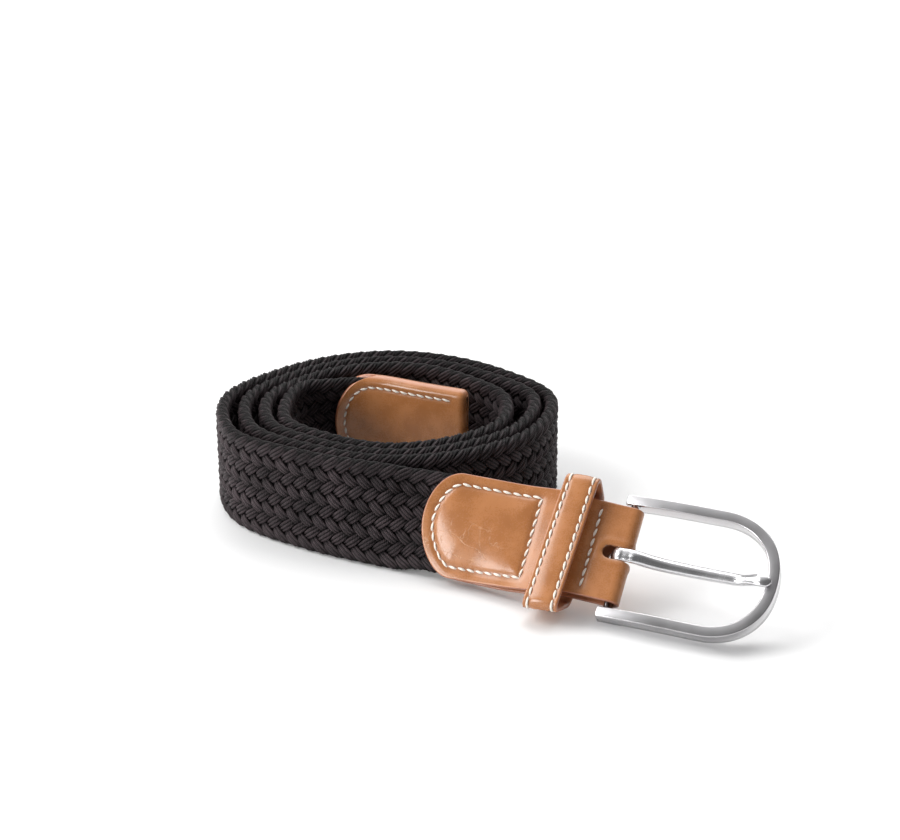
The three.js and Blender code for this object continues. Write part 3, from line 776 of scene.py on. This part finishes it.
class Tab:
    """The folded leather. `run` is the distance along it from the fold's middle, to the front leaf if
    positive, `up` the height across it and `rise` the height over its lining."""

    def __init__(self, route):
        self.route = route
        self.front = FOLD_QUARTER + TAB_LENGTH
        self.back = FOLD_QUARTER + TAB_LENGTH - TAB_BACK_SHORTER
        self.rims = [self.rim(1), self.rim(-1)]
        self.rows = [self.stitch_loop(1), self.stitch_loop(-1)]
        self.columns = [self.column(at, sign) for at in TAB_COLUMNS for sign in (1, -1)]

    def end(self, sign):
        return self.front if sign > 0 else self.back

    def half_width(self, run):
        end = np.where(run > 0, self.front, self.back) - FOLD_QUARTER
        return leaf_half_width(np.abs(run) - FOLD_QUARTER, end)

    def rim(self, sign):
        """The leaf's outline from the fold up to its round end and back down."""
        turn = np.linspace(-np.pi / 2, np.pi / 2, 61)
        power = 2 / TAB_END_POWER
        run = self.end(sign) - TAB_END_DEPTH * (1 - np.cos(turn) ** power)
        up = TAB_WIDTH / 2 * np.sign(turn) * np.abs(np.sin(turn)) ** power
        straight = np.linspace(0, self.end(sign) - TAB_END_DEPTH, 40)[:-1]
        edge = self.half_width(straight * sign)
        run = np.concatenate([straight, run, straight[::-1]])
        up = np.concatenate([-edge, up, edge[::-1]])
        return np.stack([run * sign, up], axis=-1)

    def stitch_loop(self, sign):
        """The stitches along the round end and both edges, as far as the first column."""
        turn = np.linspace(-np.pi / 2, np.pi / 2, 61)
        power = 2 / TAB_SEAM_POWER
        inset = STITCH_INSET
        run = self.end(sign) - TAB_END_DEPTH + (TAB_END_DEPTH - inset) * np.cos(turn) ** power
        up = (TAB_WIDTH / 2 - inset) * np.sign(turn) * np.abs(np.sin(turn)) ** power
        at = TAB_COLUMNS[0] + FOLD_QUARTER
        run = np.concatenate([[at], run, [at]])
        up = np.concatenate([[-TAB_WIDTH / 2 + inset], up, [TAB_WIDTH / 2 - inset]])
        return sewn_path(np.stack([run * sign, up], axis=-1))

    def column(self, at, sign):
        half = TAB_WIDTH / 2 - STITCH_INSET
        if at < TAB_NECK_LENGTH:
            half = TAB_NECK_WIDTH / 2 - STITCH_INSET * 0.7
        run = (at + FOLD_QUARTER) * sign
        return sewn_path([(run, -half), (run, half)])

    def thickness(self, run, up):
        """The leather's outer height over its lining: its thickness, rounded at the rims, with a crown
        inside the stitches of each leaf, a groove along the stitches and a lip round the slot."""
        place = np.stack([run, up], axis=-1)
        rim = np.minimum(near(place, self.rims[0]), near(place, self.rims[1]))
        rounding = 0.45
        drop = rounding * (1 - np.sqrt(1 - (1 - np.clip(rim / rounding, 0, 1)) ** 2))
        groove = self.seam(run, up)
        column = TAB_COLUMNS[0] + FOLD_QUARTER
        inside = np.minimum(rim - STITCH_INSET, np.abs(run) - column)
        crown = PAD_RISE * (1 - np.exp(-np.clip(inside, 0, None) / PAD_SOFTNESS))
        crown = crown * np.where(run > 0, 1, 0.5)
        between = (np.abs(run) - TAB_COLUMNS[1] - FOLD_QUARTER) * (column - np.abs(run))
        belly = 0.35 * np.clip(between / 100, 0, 1) * np.clip(rim / 6, 0, 1)
        slot = self.slot_distance(run, up)
        lip = 0.3 * np.exp(-(((slot - 1.5) / 0.9) ** 2)) - drop_at(slot, rounding)
        return LEATHER - drop + crown + belly + lip - 0.4 * groove

    def seam(self, run, up):
        """1 on a line of stitches, falling off over half a millimetre."""
        place = np.stack([run, up], axis=-1)
        paths = self.rows + self.columns
        distance = np.min([near(place, path[::3]) for path in paths], axis=0)
        return np.exp(-((distance / 0.75) ** 2))

    def slot_straight(self, run):
        """How far the slot's sides run straight, on the leaf that a place is on."""
        return np.where(run > 0, SLOT_LENGTH, SLOT_BACK_LENGTH) + FOLD_QUARTER - SLOT_WIDTH / 2

    def slot_distance(self, run, up):
        """The distance to the slot's rounded outline."""
        half = SLOT_WIDTH / 2
        past = np.clip(np.abs(run) - self.slot_straight(run), 0, None)
        return np.hypot(past, up) - half

    def surface(self, run, up, rise):
        """Leather coordinates to space: flat leaves on both sides of an arc round the bar."""
        radius = LEAF_INSIDE + rise
        angle = np.clip(run / FOLD_RADIUS, -np.pi / 2, np.pi / 2)
        distance = np.abs(run) - FOLD_QUARTER
        distance = np.where(distance > 0, distance, -radius * np.cos(angle))
        return self.route.points(distance, up, radius * np.sin(angle))

    def outer(self, run, up, rise):
        """Leather coordinates to space, with the rise counted from the outer face."""
        return self.surface(run, up, self.thickness(run, up) + rise)


def drop_at(distance, rounding):
    """How much a rounded edge has fallen at a distance from it."""
    return rounding * (1 - np.sqrt(1 - (1 - np.clip(distance / rounding, 0, 1)) ** 2))


def even_rows(low, high, step):
    return np.linspace(low, high, max(2, int(round((high - low) / step)) + 1))


def tab_piece(route, finish):
    """The tab as two halves, above and below the slot, that are one where there is no slot."""
    tab = Tab(route)
    fine = np.array([0, 0.04, 0.14, 0.3, 0.5, 0.8, 1.2, 1.7, 2.3, 3.0])
    slot_end = SLOT_LENGTH + FOLD_QUARTER
    slot_back_end = SLOT_BACK_LENGTH + FOLD_QUARTER
    past_end = np.array([0, 0.03, 0.12, 0.27, 0.48, 0.8, 1.2, 1.8, 2.35])
    rows = [-tab.back + fine, past_end - slot_back_end, slot_end - past_end[::-1], tab.front - fine[::-1]]
    rows.append(even_rows(-tab.back + 3.6, -slot_back_end - 0.5, 0.85))
    rows.append(even_rows(-slot_back_end + 3.0, slot_end - 3.0, 0.7))
    rows.append(even_rows(slot_end + 0.5, tab.front - 3.6, 0.85))
    run = np.unique(np.concatenate(rows))
    share = even_rows(0, 1, 1 / 22)
    rim_shares = 1 - np.array([0.5, 0.3, 0.14, 0.05, 0.0]) / (TAB_WIDTH / 2)
    lip_shares = np.array([0.0, 0.05, 0.14, 0.3, 0.55]) / (TAB_WIDTH / 2)
    share = np.unique(np.concatenate([share[1:-1], rim_shares, lip_shares]))
    half = tab.half_width(run)[:, None]
    past = np.clip(np.abs(run) - tab.slot_straight(run), 0, SLOT_WIDTH / 2)[:, None]
    slot_half = np.sqrt(np.clip((SLOT_WIDTH / 2) ** 2 - past**2, 0, None))
    up = slot_half + (half - slot_half) * share[None]
    run = run[:, None] + 0 * up
    parts = []
    offset = 0
    for sign in (1, -1):
        outer_rise = tab.thickness(run, sign * up)
        inner_rise = lining_rise(tab, run, sign * up)
        grids = [tab.surface(run, sign * up, outer_rise), tab.surface(run, sign * up, inner_rise)]
        parts.append(shell(grids, slot_half[:, 0] > 0, sign > 0, offset))
        offset += 2 * run.size
    points = np.concatenate([part[0] for part in parts])
    triangles = np.concatenate([part[1] for part in parts])
    both = [(run, up), (run, up), (run, -up), (run, -up)]
    edge = np.concatenate([edge_value(tab, *pair, side).ravel() for pair, side in zip(both, (0, 1, 0, 1))])
    seam = np.concatenate([tab.seam(*pair).ravel() for pair in both])
    crease_and_highlight = np.concatenate([tab_creases_and_highlight(*pair).ravel() for pair in both])
    runs = np.concatenate([pair[0].ravel() for pair in both])
    ups = np.concatenate([pair[1].ravel() for pair in both])
    values = {"edge": edge, "seam": seam, "crease_and_highlight": crease_and_highlight, "run": runs, "up": ups}
    made = welded(points, triangles, values)
    return piece("tab_leather", made[0], made[1], finish, made[2]), tab


def lining_rise(tab, run, up):
    """The lining's height: flat, and rounded at the rims as the outer face is."""
    place = np.stack([run, up], axis=-1)
    rim = np.minimum(near(place, tab.rims[0]), near(place, tab.rims[1]))
    rim = np.minimum(rim, tab.slot_distance(run, up))
    return drop_at(rim, 0.3)


def edge_value(tab, run, up, lining):
    """1 on the painted edge, 0 on the face."""
    place = np.stack([run, up], axis=-1)
    rim = np.minimum(near(place, tab.rims[0]), near(place, tab.rims[1]))
    return np.maximum(1 - smoothstep(rim, 0.1, 0.45), 0.75 * lining)


def tab_creases_and_highlight(run, up):
    """Where fine creases and their painted highlight show: the front pad's lower half, the neck and the fold."""
    pad = 1.2 * np.exp(-(((run - 56) / 17) ** 2) - ((up + 6) / 9) ** 2)
    neck = 0.3 * np.exp(-(((np.abs(run) - 9) / 5) ** 2))
    return pad + neck


def shell(grids, has_slot, flip, offset):
    """The outer face, the lining and the walls between them, for one half of the tab."""
    rows, columns, _ = grids[0].shape
    size = rows * columns
    face = split(grid_quads(rows, columns))
    lining = face[:, ::-1] + size
    row = np.arange(rows - 1)
    walls = []
    for column in (0, columns - 1):
        a = row * columns + column
        b = a + columns
        quads = np.stack([a, a + size, b + size, b], axis=-1)
        if column == 0:
            quads = quads[has_slot[:-1] | has_slot[1:]]
            quads = quads[:, ::-1]
        walls.append(split(quads))
    triangles = np.concatenate([face, lining, *walls])
    if flip:
        triangles = triangles[:, ::-1]
    return np.concatenate([grid.reshape(-1, 3) for grid in grids]), triangles + offset


def loop_points(corners, spacing):
    """A closed outline with points at even distances, and its outward directions."""
    closed = np.vstack([corners, corners[:1]])
    lengths = np.append(0, np.cumsum(np.linalg.norm(np.diff(closed, axis=0), axis=1)))
    count = int(lengths[-1] / spacing)
    even = np.linspace(0, lengths[-1], count, endpoint=False)
    points = np.stack([np.interp(even, lengths, closed[:, axis]) for axis in range(2)], axis=-1)
    travel = np.roll(points, -1, axis=0) - np.roll(points, 1, axis=0)
    travel /= np.linalg.norm(travel, axis=1, keepdims=True)
    return points, np.stack([travel[:, 1], -travel[:, 0]], axis=-1), even


class Keeper:
    """The keeper band: `round` is the distance round the loop, `side` along the belt from its middle."""

    def __init__(self, route):
        self.route = route
        half = KEEPER_FRONT_HALF
        back = KEEPER_BACK_HALF
        corners = [(KEEPER_FRONT, half), (-KEEPER_BACK, back), (-KEEPER_BACK, -back)]
        corners.append((KEEPER_FRONT, -half - KEEPER_FRONT_DROP))
        corners = bent_corners(np.array(corners), KEEPER_FOLD, 10)
        self.points, self.outward, self.distance = loop_points(corners, 0.6)

    def surface(self, around, side, rise):
        """Band coordinates to space: a place on the loop, plus the rise along its outward direction."""
        span = self.distance[-1] + self.distance[1]
        table = np.append(self.distance, span)
        closed = np.vstack([self.points, self.points[:1]])
        outward = np.vstack([self.outward, self.outward[:1]])
        inside = around % span
        place = [np.interp(inside, table, closed[:, axis]) for axis in range(2)]
        push = [np.interp(inside, table, outward[:, axis]) for axis in range(2)]
        out = place[0] + push[0] * rise
        up = place[1] + push[1] * rise
        return self.route.points(KEEPER_AT + side + KEEPER_SKEW * up, up, out)

    def rise(self, side):
        """The band's outer height: rounded edges, a groove at both rows of stitches, a slight crown."""
        half = KEEPER_WIDTH / 2
        edge = half - np.abs(side)
        groove = np.exp(-(((edge - KEEPER_STITCH_INSET) / 0.7) ** 2))
        crown = 0.35 * np.clip(1 - (side / (half - KEEPER_STITCH_INSET)) ** 2, 0, 1)
        return KEEPER_LEATHER - 0.3 + crown * 0.6 - drop_at(edge, 0.5) - 0.22 * groove


def keeper_piece(route, finish):
    """The keeper: a band's section carried round a loop."""
    keeper = Keeper(route)
    half = KEEPER_WIDTH / 2
    outer = np.concatenate([even_rows(0, 1, 1 / 5) ** 2 * 0.6, even_rows(0.9, half, 0.45)])
    outer = np.unique(np.concatenate([-half + outer, half - outer]))
    inner = np.linspace(half - 0.15, -half + 0.15, 5)
    rise = np.concatenate([keeper.rise(outer), 0.02 + 0 * inner])
    side = np.concatenate([outer, inner])
    around = keeper.distance[:, None]
    points = keeper.surface(around + 0 * side[None], side[None] + 0 * around, rise[None] + 0 * around)
    rows, columns, _ = points.shape
    closed = np.concatenate([points, points[:1]])
    quads = grid_quads(rows + 1, columns, True) % (rows * columns)
    edge_distance = half - np.abs(side)
    edge = np.where(rise > 0.1, 1 - smoothstep(edge_distance, 0.05, 0.4), 0.6)
    seam = np.where(rise > 0.1, np.exp(-(((edge_distance - KEEPER_STITCH_INSET) / 0.7) ** 2)), 0)
    crease_and_highlight = 0.25 + 0 * side
    values = {"edge": edge, "seam": seam, "crease_and_highlight": crease_and_highlight}
    values = {key: np.tile(value, rows) for key, value in values.items()}
    values["run"] = np.tile(side, rows)
    values["up"] = np.repeat(keeper.distance, columns)
    return piece("keeper_leather", closed[:-1].reshape(-1, 3), split(quads), finish, values), keeper


def keeper_stitches(keeper):
    """Two rows of stitches over the band's front and both its edges."""
    made = []
    reach = KEEPER_FRONT_HALF + KEEPER_FRONT_DROP / 2 + 4.0
    for sign in (1, -1):
        side = sign * (KEEPER_WIDTH / 2 - KEEPER_STITCH_INSET)
        path = sewn_path([(middle_of(keeper) - reach, side), (middle_of(keeper) + reach, side)])
        made.append(stitches(path, lambda a, s, h: keeper.surface(a, s, keeper.rise(s) + h), 0.1))
    return made


def middle_of(keeper):
    """The distance round the loop to the middle of its front."""
    span = keeper.distance[-1] + keeper.distance[1]
    front = keeper.points[:, 0] > KEEPER_FRONT - 0.1
    angle = keeper.distance[front] / span * 2 * np.pi
    return np.arctan2(np.sin(angle).mean(), np.cos(angle).mean()) / (2 * np.pi) * span % span


class Tip:
    """The pocket on the free end. `run` is the distance from its closed end, `up` the height across."""

    def __init__(self, route):
        self.route = route
        inset = STITCH_INSET
        half = TIP_WIDTH / 2 - inset
        turn = np.linspace(np.pi / 2, -np.pi / 2, 61)
        reach = TIP_LENGTH - TIP_MOUTH_DEPTH + (TIP_MOUTH_DEPTH - inset) * np.cos(turn)
        run = np.concatenate([[TIP_STITCH_STOP], reach, [TIP_STITCH_STOP]])
        up = np.concatenate([[half], half * np.sin(turn), [-half]])
        self.sewn = sewn_path(np.stack([run, up], axis=-1))

    def groove(self, run, up):
        distance = near(np.stack([run, up], axis=-1), self.sewn[::3])
        return np.exp(-((distance / 0.75) ** 2))

    def mouth(self, up):
        """How far the mouth is from the closed end: an ellipse over the pocket's height."""
        return TIP_LENGTH - TIP_MOUTH_DEPTH * (1 - round_share(2 * up / TIP_WIDTH, 2))

    def face(self, run, up, side, rise):
        """A place over the pocket's front (side 1) or back (side -1) face."""
        out = TIP_THICKNESS / 2 + rise - 0.3 * self.groove(run, up)
        return self.route.points(self.route.length - run, up, side * out)


def tip_piece(route, finish):
    """The pocket: its outline carried from the mouth to the closed end, with a lining at the mouth."""
    tip = Tip(route)
    half = TIP_THICKNESS / 2
    outline = rounded_outline(-half, half, -TIP_WIDTH / 2, TIP_WIDTH / 2, TIP_CORNER, 5)
    outline, outward, _ = loop_points(outline, 0.7)
    out, up = outline.T
    mouth = tip.mouth(up)
    share = np.unique(np.concatenate([even_rows(0, 1, 1 / 60), 1 - np.array([0.004, 0.012, 0.025])]))[:-1]
    run = TIP_END_ROUNDING + (mouth[None] - TIP_END_ROUNDING) * share[:, None]
    drop = drop_at(mouth[None] - run, 0.45)
    flat = np.abs(outward[:, 0]) > 0.9
    groove = np.where(flat[None], 0.35 * tip.groove(run, up[None] + 0 * run), 0)
    swell = np.where(flat, 0.25 * smoothstep(TIP_WIDTH / 2 - np.abs(up), 3.5, 9), 0)[None]
    swell = swell * smoothstep(run, 2, 9)
    rise = -drop - groove + swell
    closing = np.radians(np.array([90, 75, 60, 40, 20, 0]))
    rings = []
    for angle in closing[:-1]:
        inset = TIP_END_ROUNDING * (1 - np.cos(angle))
        rings.append((TIP_END_ROUNDING * (1 - np.sin(angle)) + 0 * up, 0 * up - inset))
    rows = [(run_row, rise_row) for run_row, rise_row in rings] + list(zip(run, rise))
    rows.append((mouth, -0.45 + 0 * up))
    rows.append((mouth, -1.0 + 0 * up))
    rows.append((mouth - 0.3, -LEATHER + 0 * up))
    rows.append((mouth - 4.0, -LEATHER + 0 * up))
    rows.append((mouth - 4.0, -LEATHER - 0.8 + 0 * up))
    runs = np.array([row[0] for row in rows])
    rises = np.array([row[1] for row in rows])
    at = outline[None] + outward[None] * rises[..., None]
    points = route.points(route.length - runs, at[..., 1], at[..., 0])
    count, corners, _ = points.shape
    made_points, triangles = tubes(points[None])
    painted = 1 - smoothstep(mouth[None] - runs, 0.1, 0.5)
    painted = np.where(np.arange(count)[:, None] < len(closing), 0, painted)
    top = smoothstep(np.abs(outward[:, 1]), 0.75, 0.97)[None] * 0.55
    edge = np.maximum(painted, top)
    seam = np.where(flat[None], tip.groove(runs, up[None] + 0 * runs), 0)
    ends = np.zeros(2)
    values = {
        "edge": np.append(edge.ravel(), ends),
        "seam": np.append(seam.ravel(), ends),
        "crease_and_highlight": np.append(0.3 + 0 * edge.ravel(), ends),
        "run": np.append(runs.ravel(), ends),
        "up": np.append((up[None] + 0 * runs).ravel(), ends),
    }
    return piece("tip_leather", made_points, triangles, finish, values), tip


def frame_outline(inset, stations):
    """The buckle's outline inset by some: an arm, a squarish half ellipse and the other arm."""
    half = FRAME_WIDTH / 2 - inset
    arc = FRAME_REACH - FRAME_END_DEPTH
    arm = np.linspace(-FRAME_TAIL, arc, stations // 4, endpoint=False)
    turn = np.linspace(-np.pi / 2, np.pi / 2, stations // 2)
    power = 2 / FRAME_END_POWER
    end_x = arc + (FRAME_END_DEPTH - inset) * np.cos(turn) ** power
    end_y = half * np.sign(turn) * np.abs(np.sin(turn)) ** power
    x = np.concatenate([arm, end_x, arm[::-1]])
    y = np.concatenate([-half + 0 * arm, end_y, half + 0 * arm])
    return np.stack([x, y], axis=-1)


def buckle_axes(route):
    """The bar's place and the buckle's axes: away from the tab, up across the belt, out of its face."""
    place, along, up, out = route.axes(np.array([0.0]))
    angle = np.radians(FRAME_SWUNG_BACK)
    away = -along[0]
    forward = away * np.cos(angle) - out[0] * np.sin(angle)
    face = out[0] * np.cos(angle) + away * np.sin(angle)
    return place[0], np.stack([forward, up[0], face])


def in_buckle(route, points):
    """Buckle coordinates to space."""
    place, axes = buckle_axes(route)
    return place + points @ axes


def frame_piece(route, finish):
    """The buckle frame: a section with a crowned face and plain walls carried along the outline."""
    outer = frame_outline(0.0, 160)
    inner = frame_outline(FRAME_ARM, 160)
    crown = FRAME_CROWN
    bevel = FRAME_EDGE
    across = np.array([-1, -0.93, -0.6, -0.2, 0.2, 0.6, 0.93, 1])
    face = [((1 - a * (1 - 2 * bevel / FRAME_ARM)) / 2, FRAME_FRONT - crown * a * a) for a in across]
    lower = FRAME_FRONT - crown
    section = [(1.0, lower - bevel * 2.2), (1.0, lower - bevel * 1.2)]
    section += [(1 - bevel * 0.3 / FRAME_ARM, lower - bevel * 0.35)]
    section += face
    section += [(bevel * 0.3 / FRAME_ARM, lower - bevel * 0.35), (0.0, lower - bevel * 1.2), (0.0, lower - bevel * 2.2)]
    section += [(0.0, -FRAME_BACK + bevel), (bevel * 0.3 / FRAME_ARM, -FRAME_BACK + 0.09)]
    section += [(bevel / FRAME_ARM, -FRAME_BACK), (1 - bevel / FRAME_ARM, -FRAME_BACK)]
    section += [(1 - bevel * 0.3 / FRAME_ARM, -FRAME_BACK + 0.09), (1.0, -FRAME_BACK + bevel)]
    section = np.array(section)
    share = section[:, 0][None, :, None]
    flat = inner[:, None] * (1 - share) + outer[:, None] * share
    bowed = FRAME_BOW * np.clip(FRAME_BOW_FROM - flat[..., :1], 0, None) ** 2
    height = section[:, 1][None, :, None] - bowed
    rings = np.concatenate([flat, height], axis=-1)
    middle = rings.mean(axis=1, keepdims=True)
    caps = []
    for end in (0, -1):
        for kept, back in ((0.96, 0.13), (0.88, 0.18)):
            caps.append(rings[end] * kept + middle[end] * (1 - kept) - np.array([back, 0, 0]))
    rings = np.stack([caps[1], caps[0], *rings, caps[2], caps[3]])
    points, triangles = tubes(rings[None])
    satin = np.zeros(len(section))
    satin[3 : 3 + len(face)] = 1
    values = np.append(np.tile(satin, len(rings)), [0, 0])
    bar_points, bar_triangles = bar_tube()
    both = np.concatenate([points, bar_points])
    faces = np.concatenate([triangles, bar_triangles + len(points)])
    values = np.append(values, np.zeros(len(bar_points)))
    return piece("frame_metal", in_buckle(route, both), faces, finish, {"satin": values})


def bar_tube():
    """The bar between the arms."""
    half = FRAME_WIDTH / 2 - FRAME_ARM / 2
    turn = np.linspace(0, 2 * np.pi, 24, endpoint=False)
    ring = np.stack([np.cos(turn), 0 * turn, np.sin(turn)], axis=-1) * BAR_DIAMETER / 2
    ends = np.linspace(-half, half, 6)[:, None, None] * np.array([0, 1, 0])
    return tubes((ring[None] + ends)[None])


def prong_piece(route, finish):
    """The prong: a flattened rod that hooks round the bar, runs low and rests its tip on the frame."""
    hook_radius = BAR_DIAMETER / 2 + CLEARANCE + PRONG_HOOK_THICKNESS / 2
    turn = np.radians(np.linspace(255, 80, 22))
    hook = hook_radius * np.stack([np.cos(turn), np.sin(turn)], axis=-1)
    tip_height = FRAME_FRONT + CLEARANCE + PRONG_TIP_THICKNESS / 2
    line = np.array(PRONG_LINE) * (PRONG_REACH, tip_height)
    course = np.concatenate([hook, line])
    course3 = np.stack([course[:, 0], 0 * course[:, 0], course[:, 1]], axis=-1)
    places, _ = smooth_curve(course3, np.zeros(len(course3)), 4)
    travel = np.gradient(places, axis=0)
    travel /= np.linalg.norm(travel, axis=1, keepdims=True)
    across = np.array([0.0, 1.0, 0.0])
    front = np.cross(travel, across)
    share = np.where(np.arange(len(places)) > 4 * len(hook), places[:, 0] / PRONG_REACH, 0)
    pinch = np.exp(-(((share - 0.83) / 0.05) ** 2))
    flat = smoothstep(share, 0.85, 0.93)
    shank = PRONG_ROOT_WIDTH + (PRONG_NECK_WIDTH - PRONG_ROOT_WIDTH) * smoothstep(share, 0.05, 0.75)
    width = (shank * (1 - flat) + PRONG_TIP_WIDTH * flat) * (1 - 0.06 * pinch)
    thick = PRONG_THICKNESS * (1 - flat) + PRONG_TIP_THICKNESS * flat
    thick = PRONG_HOOK_THICKNESS + (thick - PRONG_HOOK_THICKNESS) * smoothstep(share, 0.0, 0.14)
    half_tip = PRONG_TIP_WIDTH / 2
    past = np.clip((share - 1) * PRONG_REACH + half_tip, 0, half_tip) / half_tip
    rounding = np.sqrt(np.clip(1 - past**2, 0.02, 1))
    turn = np.linspace(0, 2 * np.pi, 28, endpoint=False)
    square = 0.92
    section_x = np.sign(np.cos(turn)) * np.abs(np.cos(turn)) ** square
    section_y = np.sign(np.sin(turn)) * np.abs(np.sin(turn)) ** square
    wide = across[None, None] * (width * rounding / 2)[:, None, None] * section_x[None, :, None]
    deep = front[:, None] * (thick * (0.5 + 0.5 * rounding) / 2)[:, None, None] * section_y[None, :, None]
    rings = places[:, None] + wide + deep
    points, triangles = tubes(rings[None])
    return piece("prong_metal", in_buckle(route, points), triangles, finish)


def floor_and_light():
    """A pale floor that curves up behind, under soft light from the left, the front and behind."""
    look = Look("pale_floor")
    material = look.finish(Base_Color=(0.93, 0.93, 0.93, 1), Roughness=0.75)
    reach = np.linspace(-2500, 2500, 3)
    depth = np.array([-2500, 1200, 1600, 1900, 2100, 2200, 2250, 2260])
    height = np.array([0, 0, 30, 130, 300, 560, 900, 2500])
    grid_x, grid_y = np.meshgrid(reach, depth, indexing="ij")
    grid_z = np.broadcast_to(height, grid_x.shape)
    points = np.stack([grid_x, grid_y, grid_z], axis=-1).reshape(-1, 3)
    floor = piece("floor", points, split(grid_quads(3, len(depth)))[:, ::-1], material)
    for light in LIGHTS:
        lamp(*light)
    bpy.context.scene.world = studio_world()
    bpy.context.scene.view_settings.view_transform = "Standard"


def studio_world():
    """A studio that is bright above and behind, and dim on the camera's side."""
    world = bpy.data.worlds.new("studio")
    world.use_nodes = True
    nodes = world.node_tree.nodes
    links = world.node_tree.links
    place = nodes.new("ShaderNodeTexCoord")
    towards = nodes.new("ShaderNodeVectorMath")
    towards.operation = "DOT_PRODUCT"
    towards.inputs[1].default_value = (-0.2, 0.8, 0.56)
    strength = nodes.new("ShaderNodeMapRange")
    strength.interpolation_type = "SMOOTHSTEP"
    for name, value in {"From Min": 0.2, "From Max": 0.8, "To Min": 0.16, "To Max": 0.8}.items():
        strength.inputs[name].default_value = value
    links.new(place.outputs["Generated"], towards.inputs[0])
    links.new(towards.outputs["Value"], strength.inputs["Value"])
    links.new(strength.outputs["Result"], nodes["Background"].inputs["Strength"])
    nodes["Background"].inputs["Color"].default_value = (1, 1, 1, 1)
    return world


def lamp(name, place, target, size, power):
    """A square soft light that points at a target."""
    light = bpy.data.lights.new(name, "AREA")
    light.size = size / 1000
    light.energy = power
    made = bpy.data.objects.new(name, light)
    made.location = Vector(place) / 1000
    made.rotation_euler = (Vector(target) - Vector(place)).to_track_quat("-Z", "Y").to_euler()
    bpy.context.scene.collection.objects.link(made)


def camera(route):
    """The camera, at the photograph's height and angle."""
    data = bpy.data.cameras.new("camera")
    data.lens = CAMERA_LENS
    data.sensor_width = SENSOR_WIDTH
    data.sensor_fit = "HORIZONTAL"
    data.clip_end = 100
    made = bpy.data.objects.new("camera", data)
    place = Vector(np.array(CAMERA_PLACE) + route.shift) / 1000
    made.matrix_world = Matrix.Translation(place) @ Matrix.Rotation(np.radians(90 - CAMERA_DOWN), 4, "X")
    bpy.context.scene.collection.objects.link(made)
    bpy.context.scene.camera = made


def thread_piece(name, sewn, finish):
    """All the stitches of one leather piece, and the painted shade of their needle holes, as one mesh."""
    threads = np.concatenate([thread for thread, hole_shade in sewn])
    hole_shades = np.concatenate([hole_shade for thread, hole_shade in sewn])
    points, triangles = tubes(np.concatenate([threads, hole_shades]))
    ring_points = threads[0].size // 3
    # 1 on the needle holes' painted shade, 0 on the threads.
    dark = np.repeat([0.0, 1.0], [len(threads), len(hole_shades)])
    values = {"hole_shade": np.concatenate([np.repeat(dark, ring_points), np.repeat(dark, 2)])}
    return piece(name, points, triangles, finish, values)


def main():
    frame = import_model()
    bar = next(joint["pos_m"] for joint in frame["joints"] if joint["name"] == "frame_swing")
    route = Route(None)
    route.shift = 1000 * np.array(bar) - route.start
    camera(route)
    tone = {
        "deep": (0.41, 0.16, 0.054),
        "light": (0.52, 0.215, 0.08),
        # The creases' painted highlight, lighter than the leather.
        "crease_and_highlight": (0.72, 0.42, 0.25),
        "seam": (0.24, 0.09, 0.04),
        "edge": (0.46, 0.18, 0.098),
    }
    leather = leather_finish("cognac_leather", tone)
    thread = thread_finish()
    for strands in braid_pieces(route, braid_finish()):
        dress(strands, "belt", ["braided_strap"])
    tab_leather, tab = tab_piece(route, leather)
    dress(tab_leather, "belt", ["buckle_tab"])
    sewn = [stitches(path, tab.outer) for path in tab.rows + tab.columns]
    dress(thread_piece("tab_thread", sewn, thread), "belt", [])
    keeper_leather, keeper = keeper_piece(route, leather)
    dress(keeper_leather, "belt", ["keeper_loop"])
    dress(thread_piece("keeper_thread", keeper_stitches(keeper), thread), "belt", [])
    tip_leather, tip = tip_piece(route, leather)
    dress(tip_leather, "belt", ["tip_cover"])
    sewn = [stitches(tip.sewn, lambda r, u, h, side=side: tip.face(r, u, side, h)) for side in (1, -1)]
    dress(thread_piece("tip_thread", sewn, thread), "belt", [])
    dress(frame_piece(route, nickel_finish()), "frame", ["buckle_frame"])
    dress(prong_piece(route, chrome_finish()), "prong", ["prong"])
    floor_and_light()


def dress(made, body, nodes):
    """A piece that rides on a body and stands for some of the solids."""
    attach(made, body)
    if nodes:
        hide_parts(*nodes)


main()
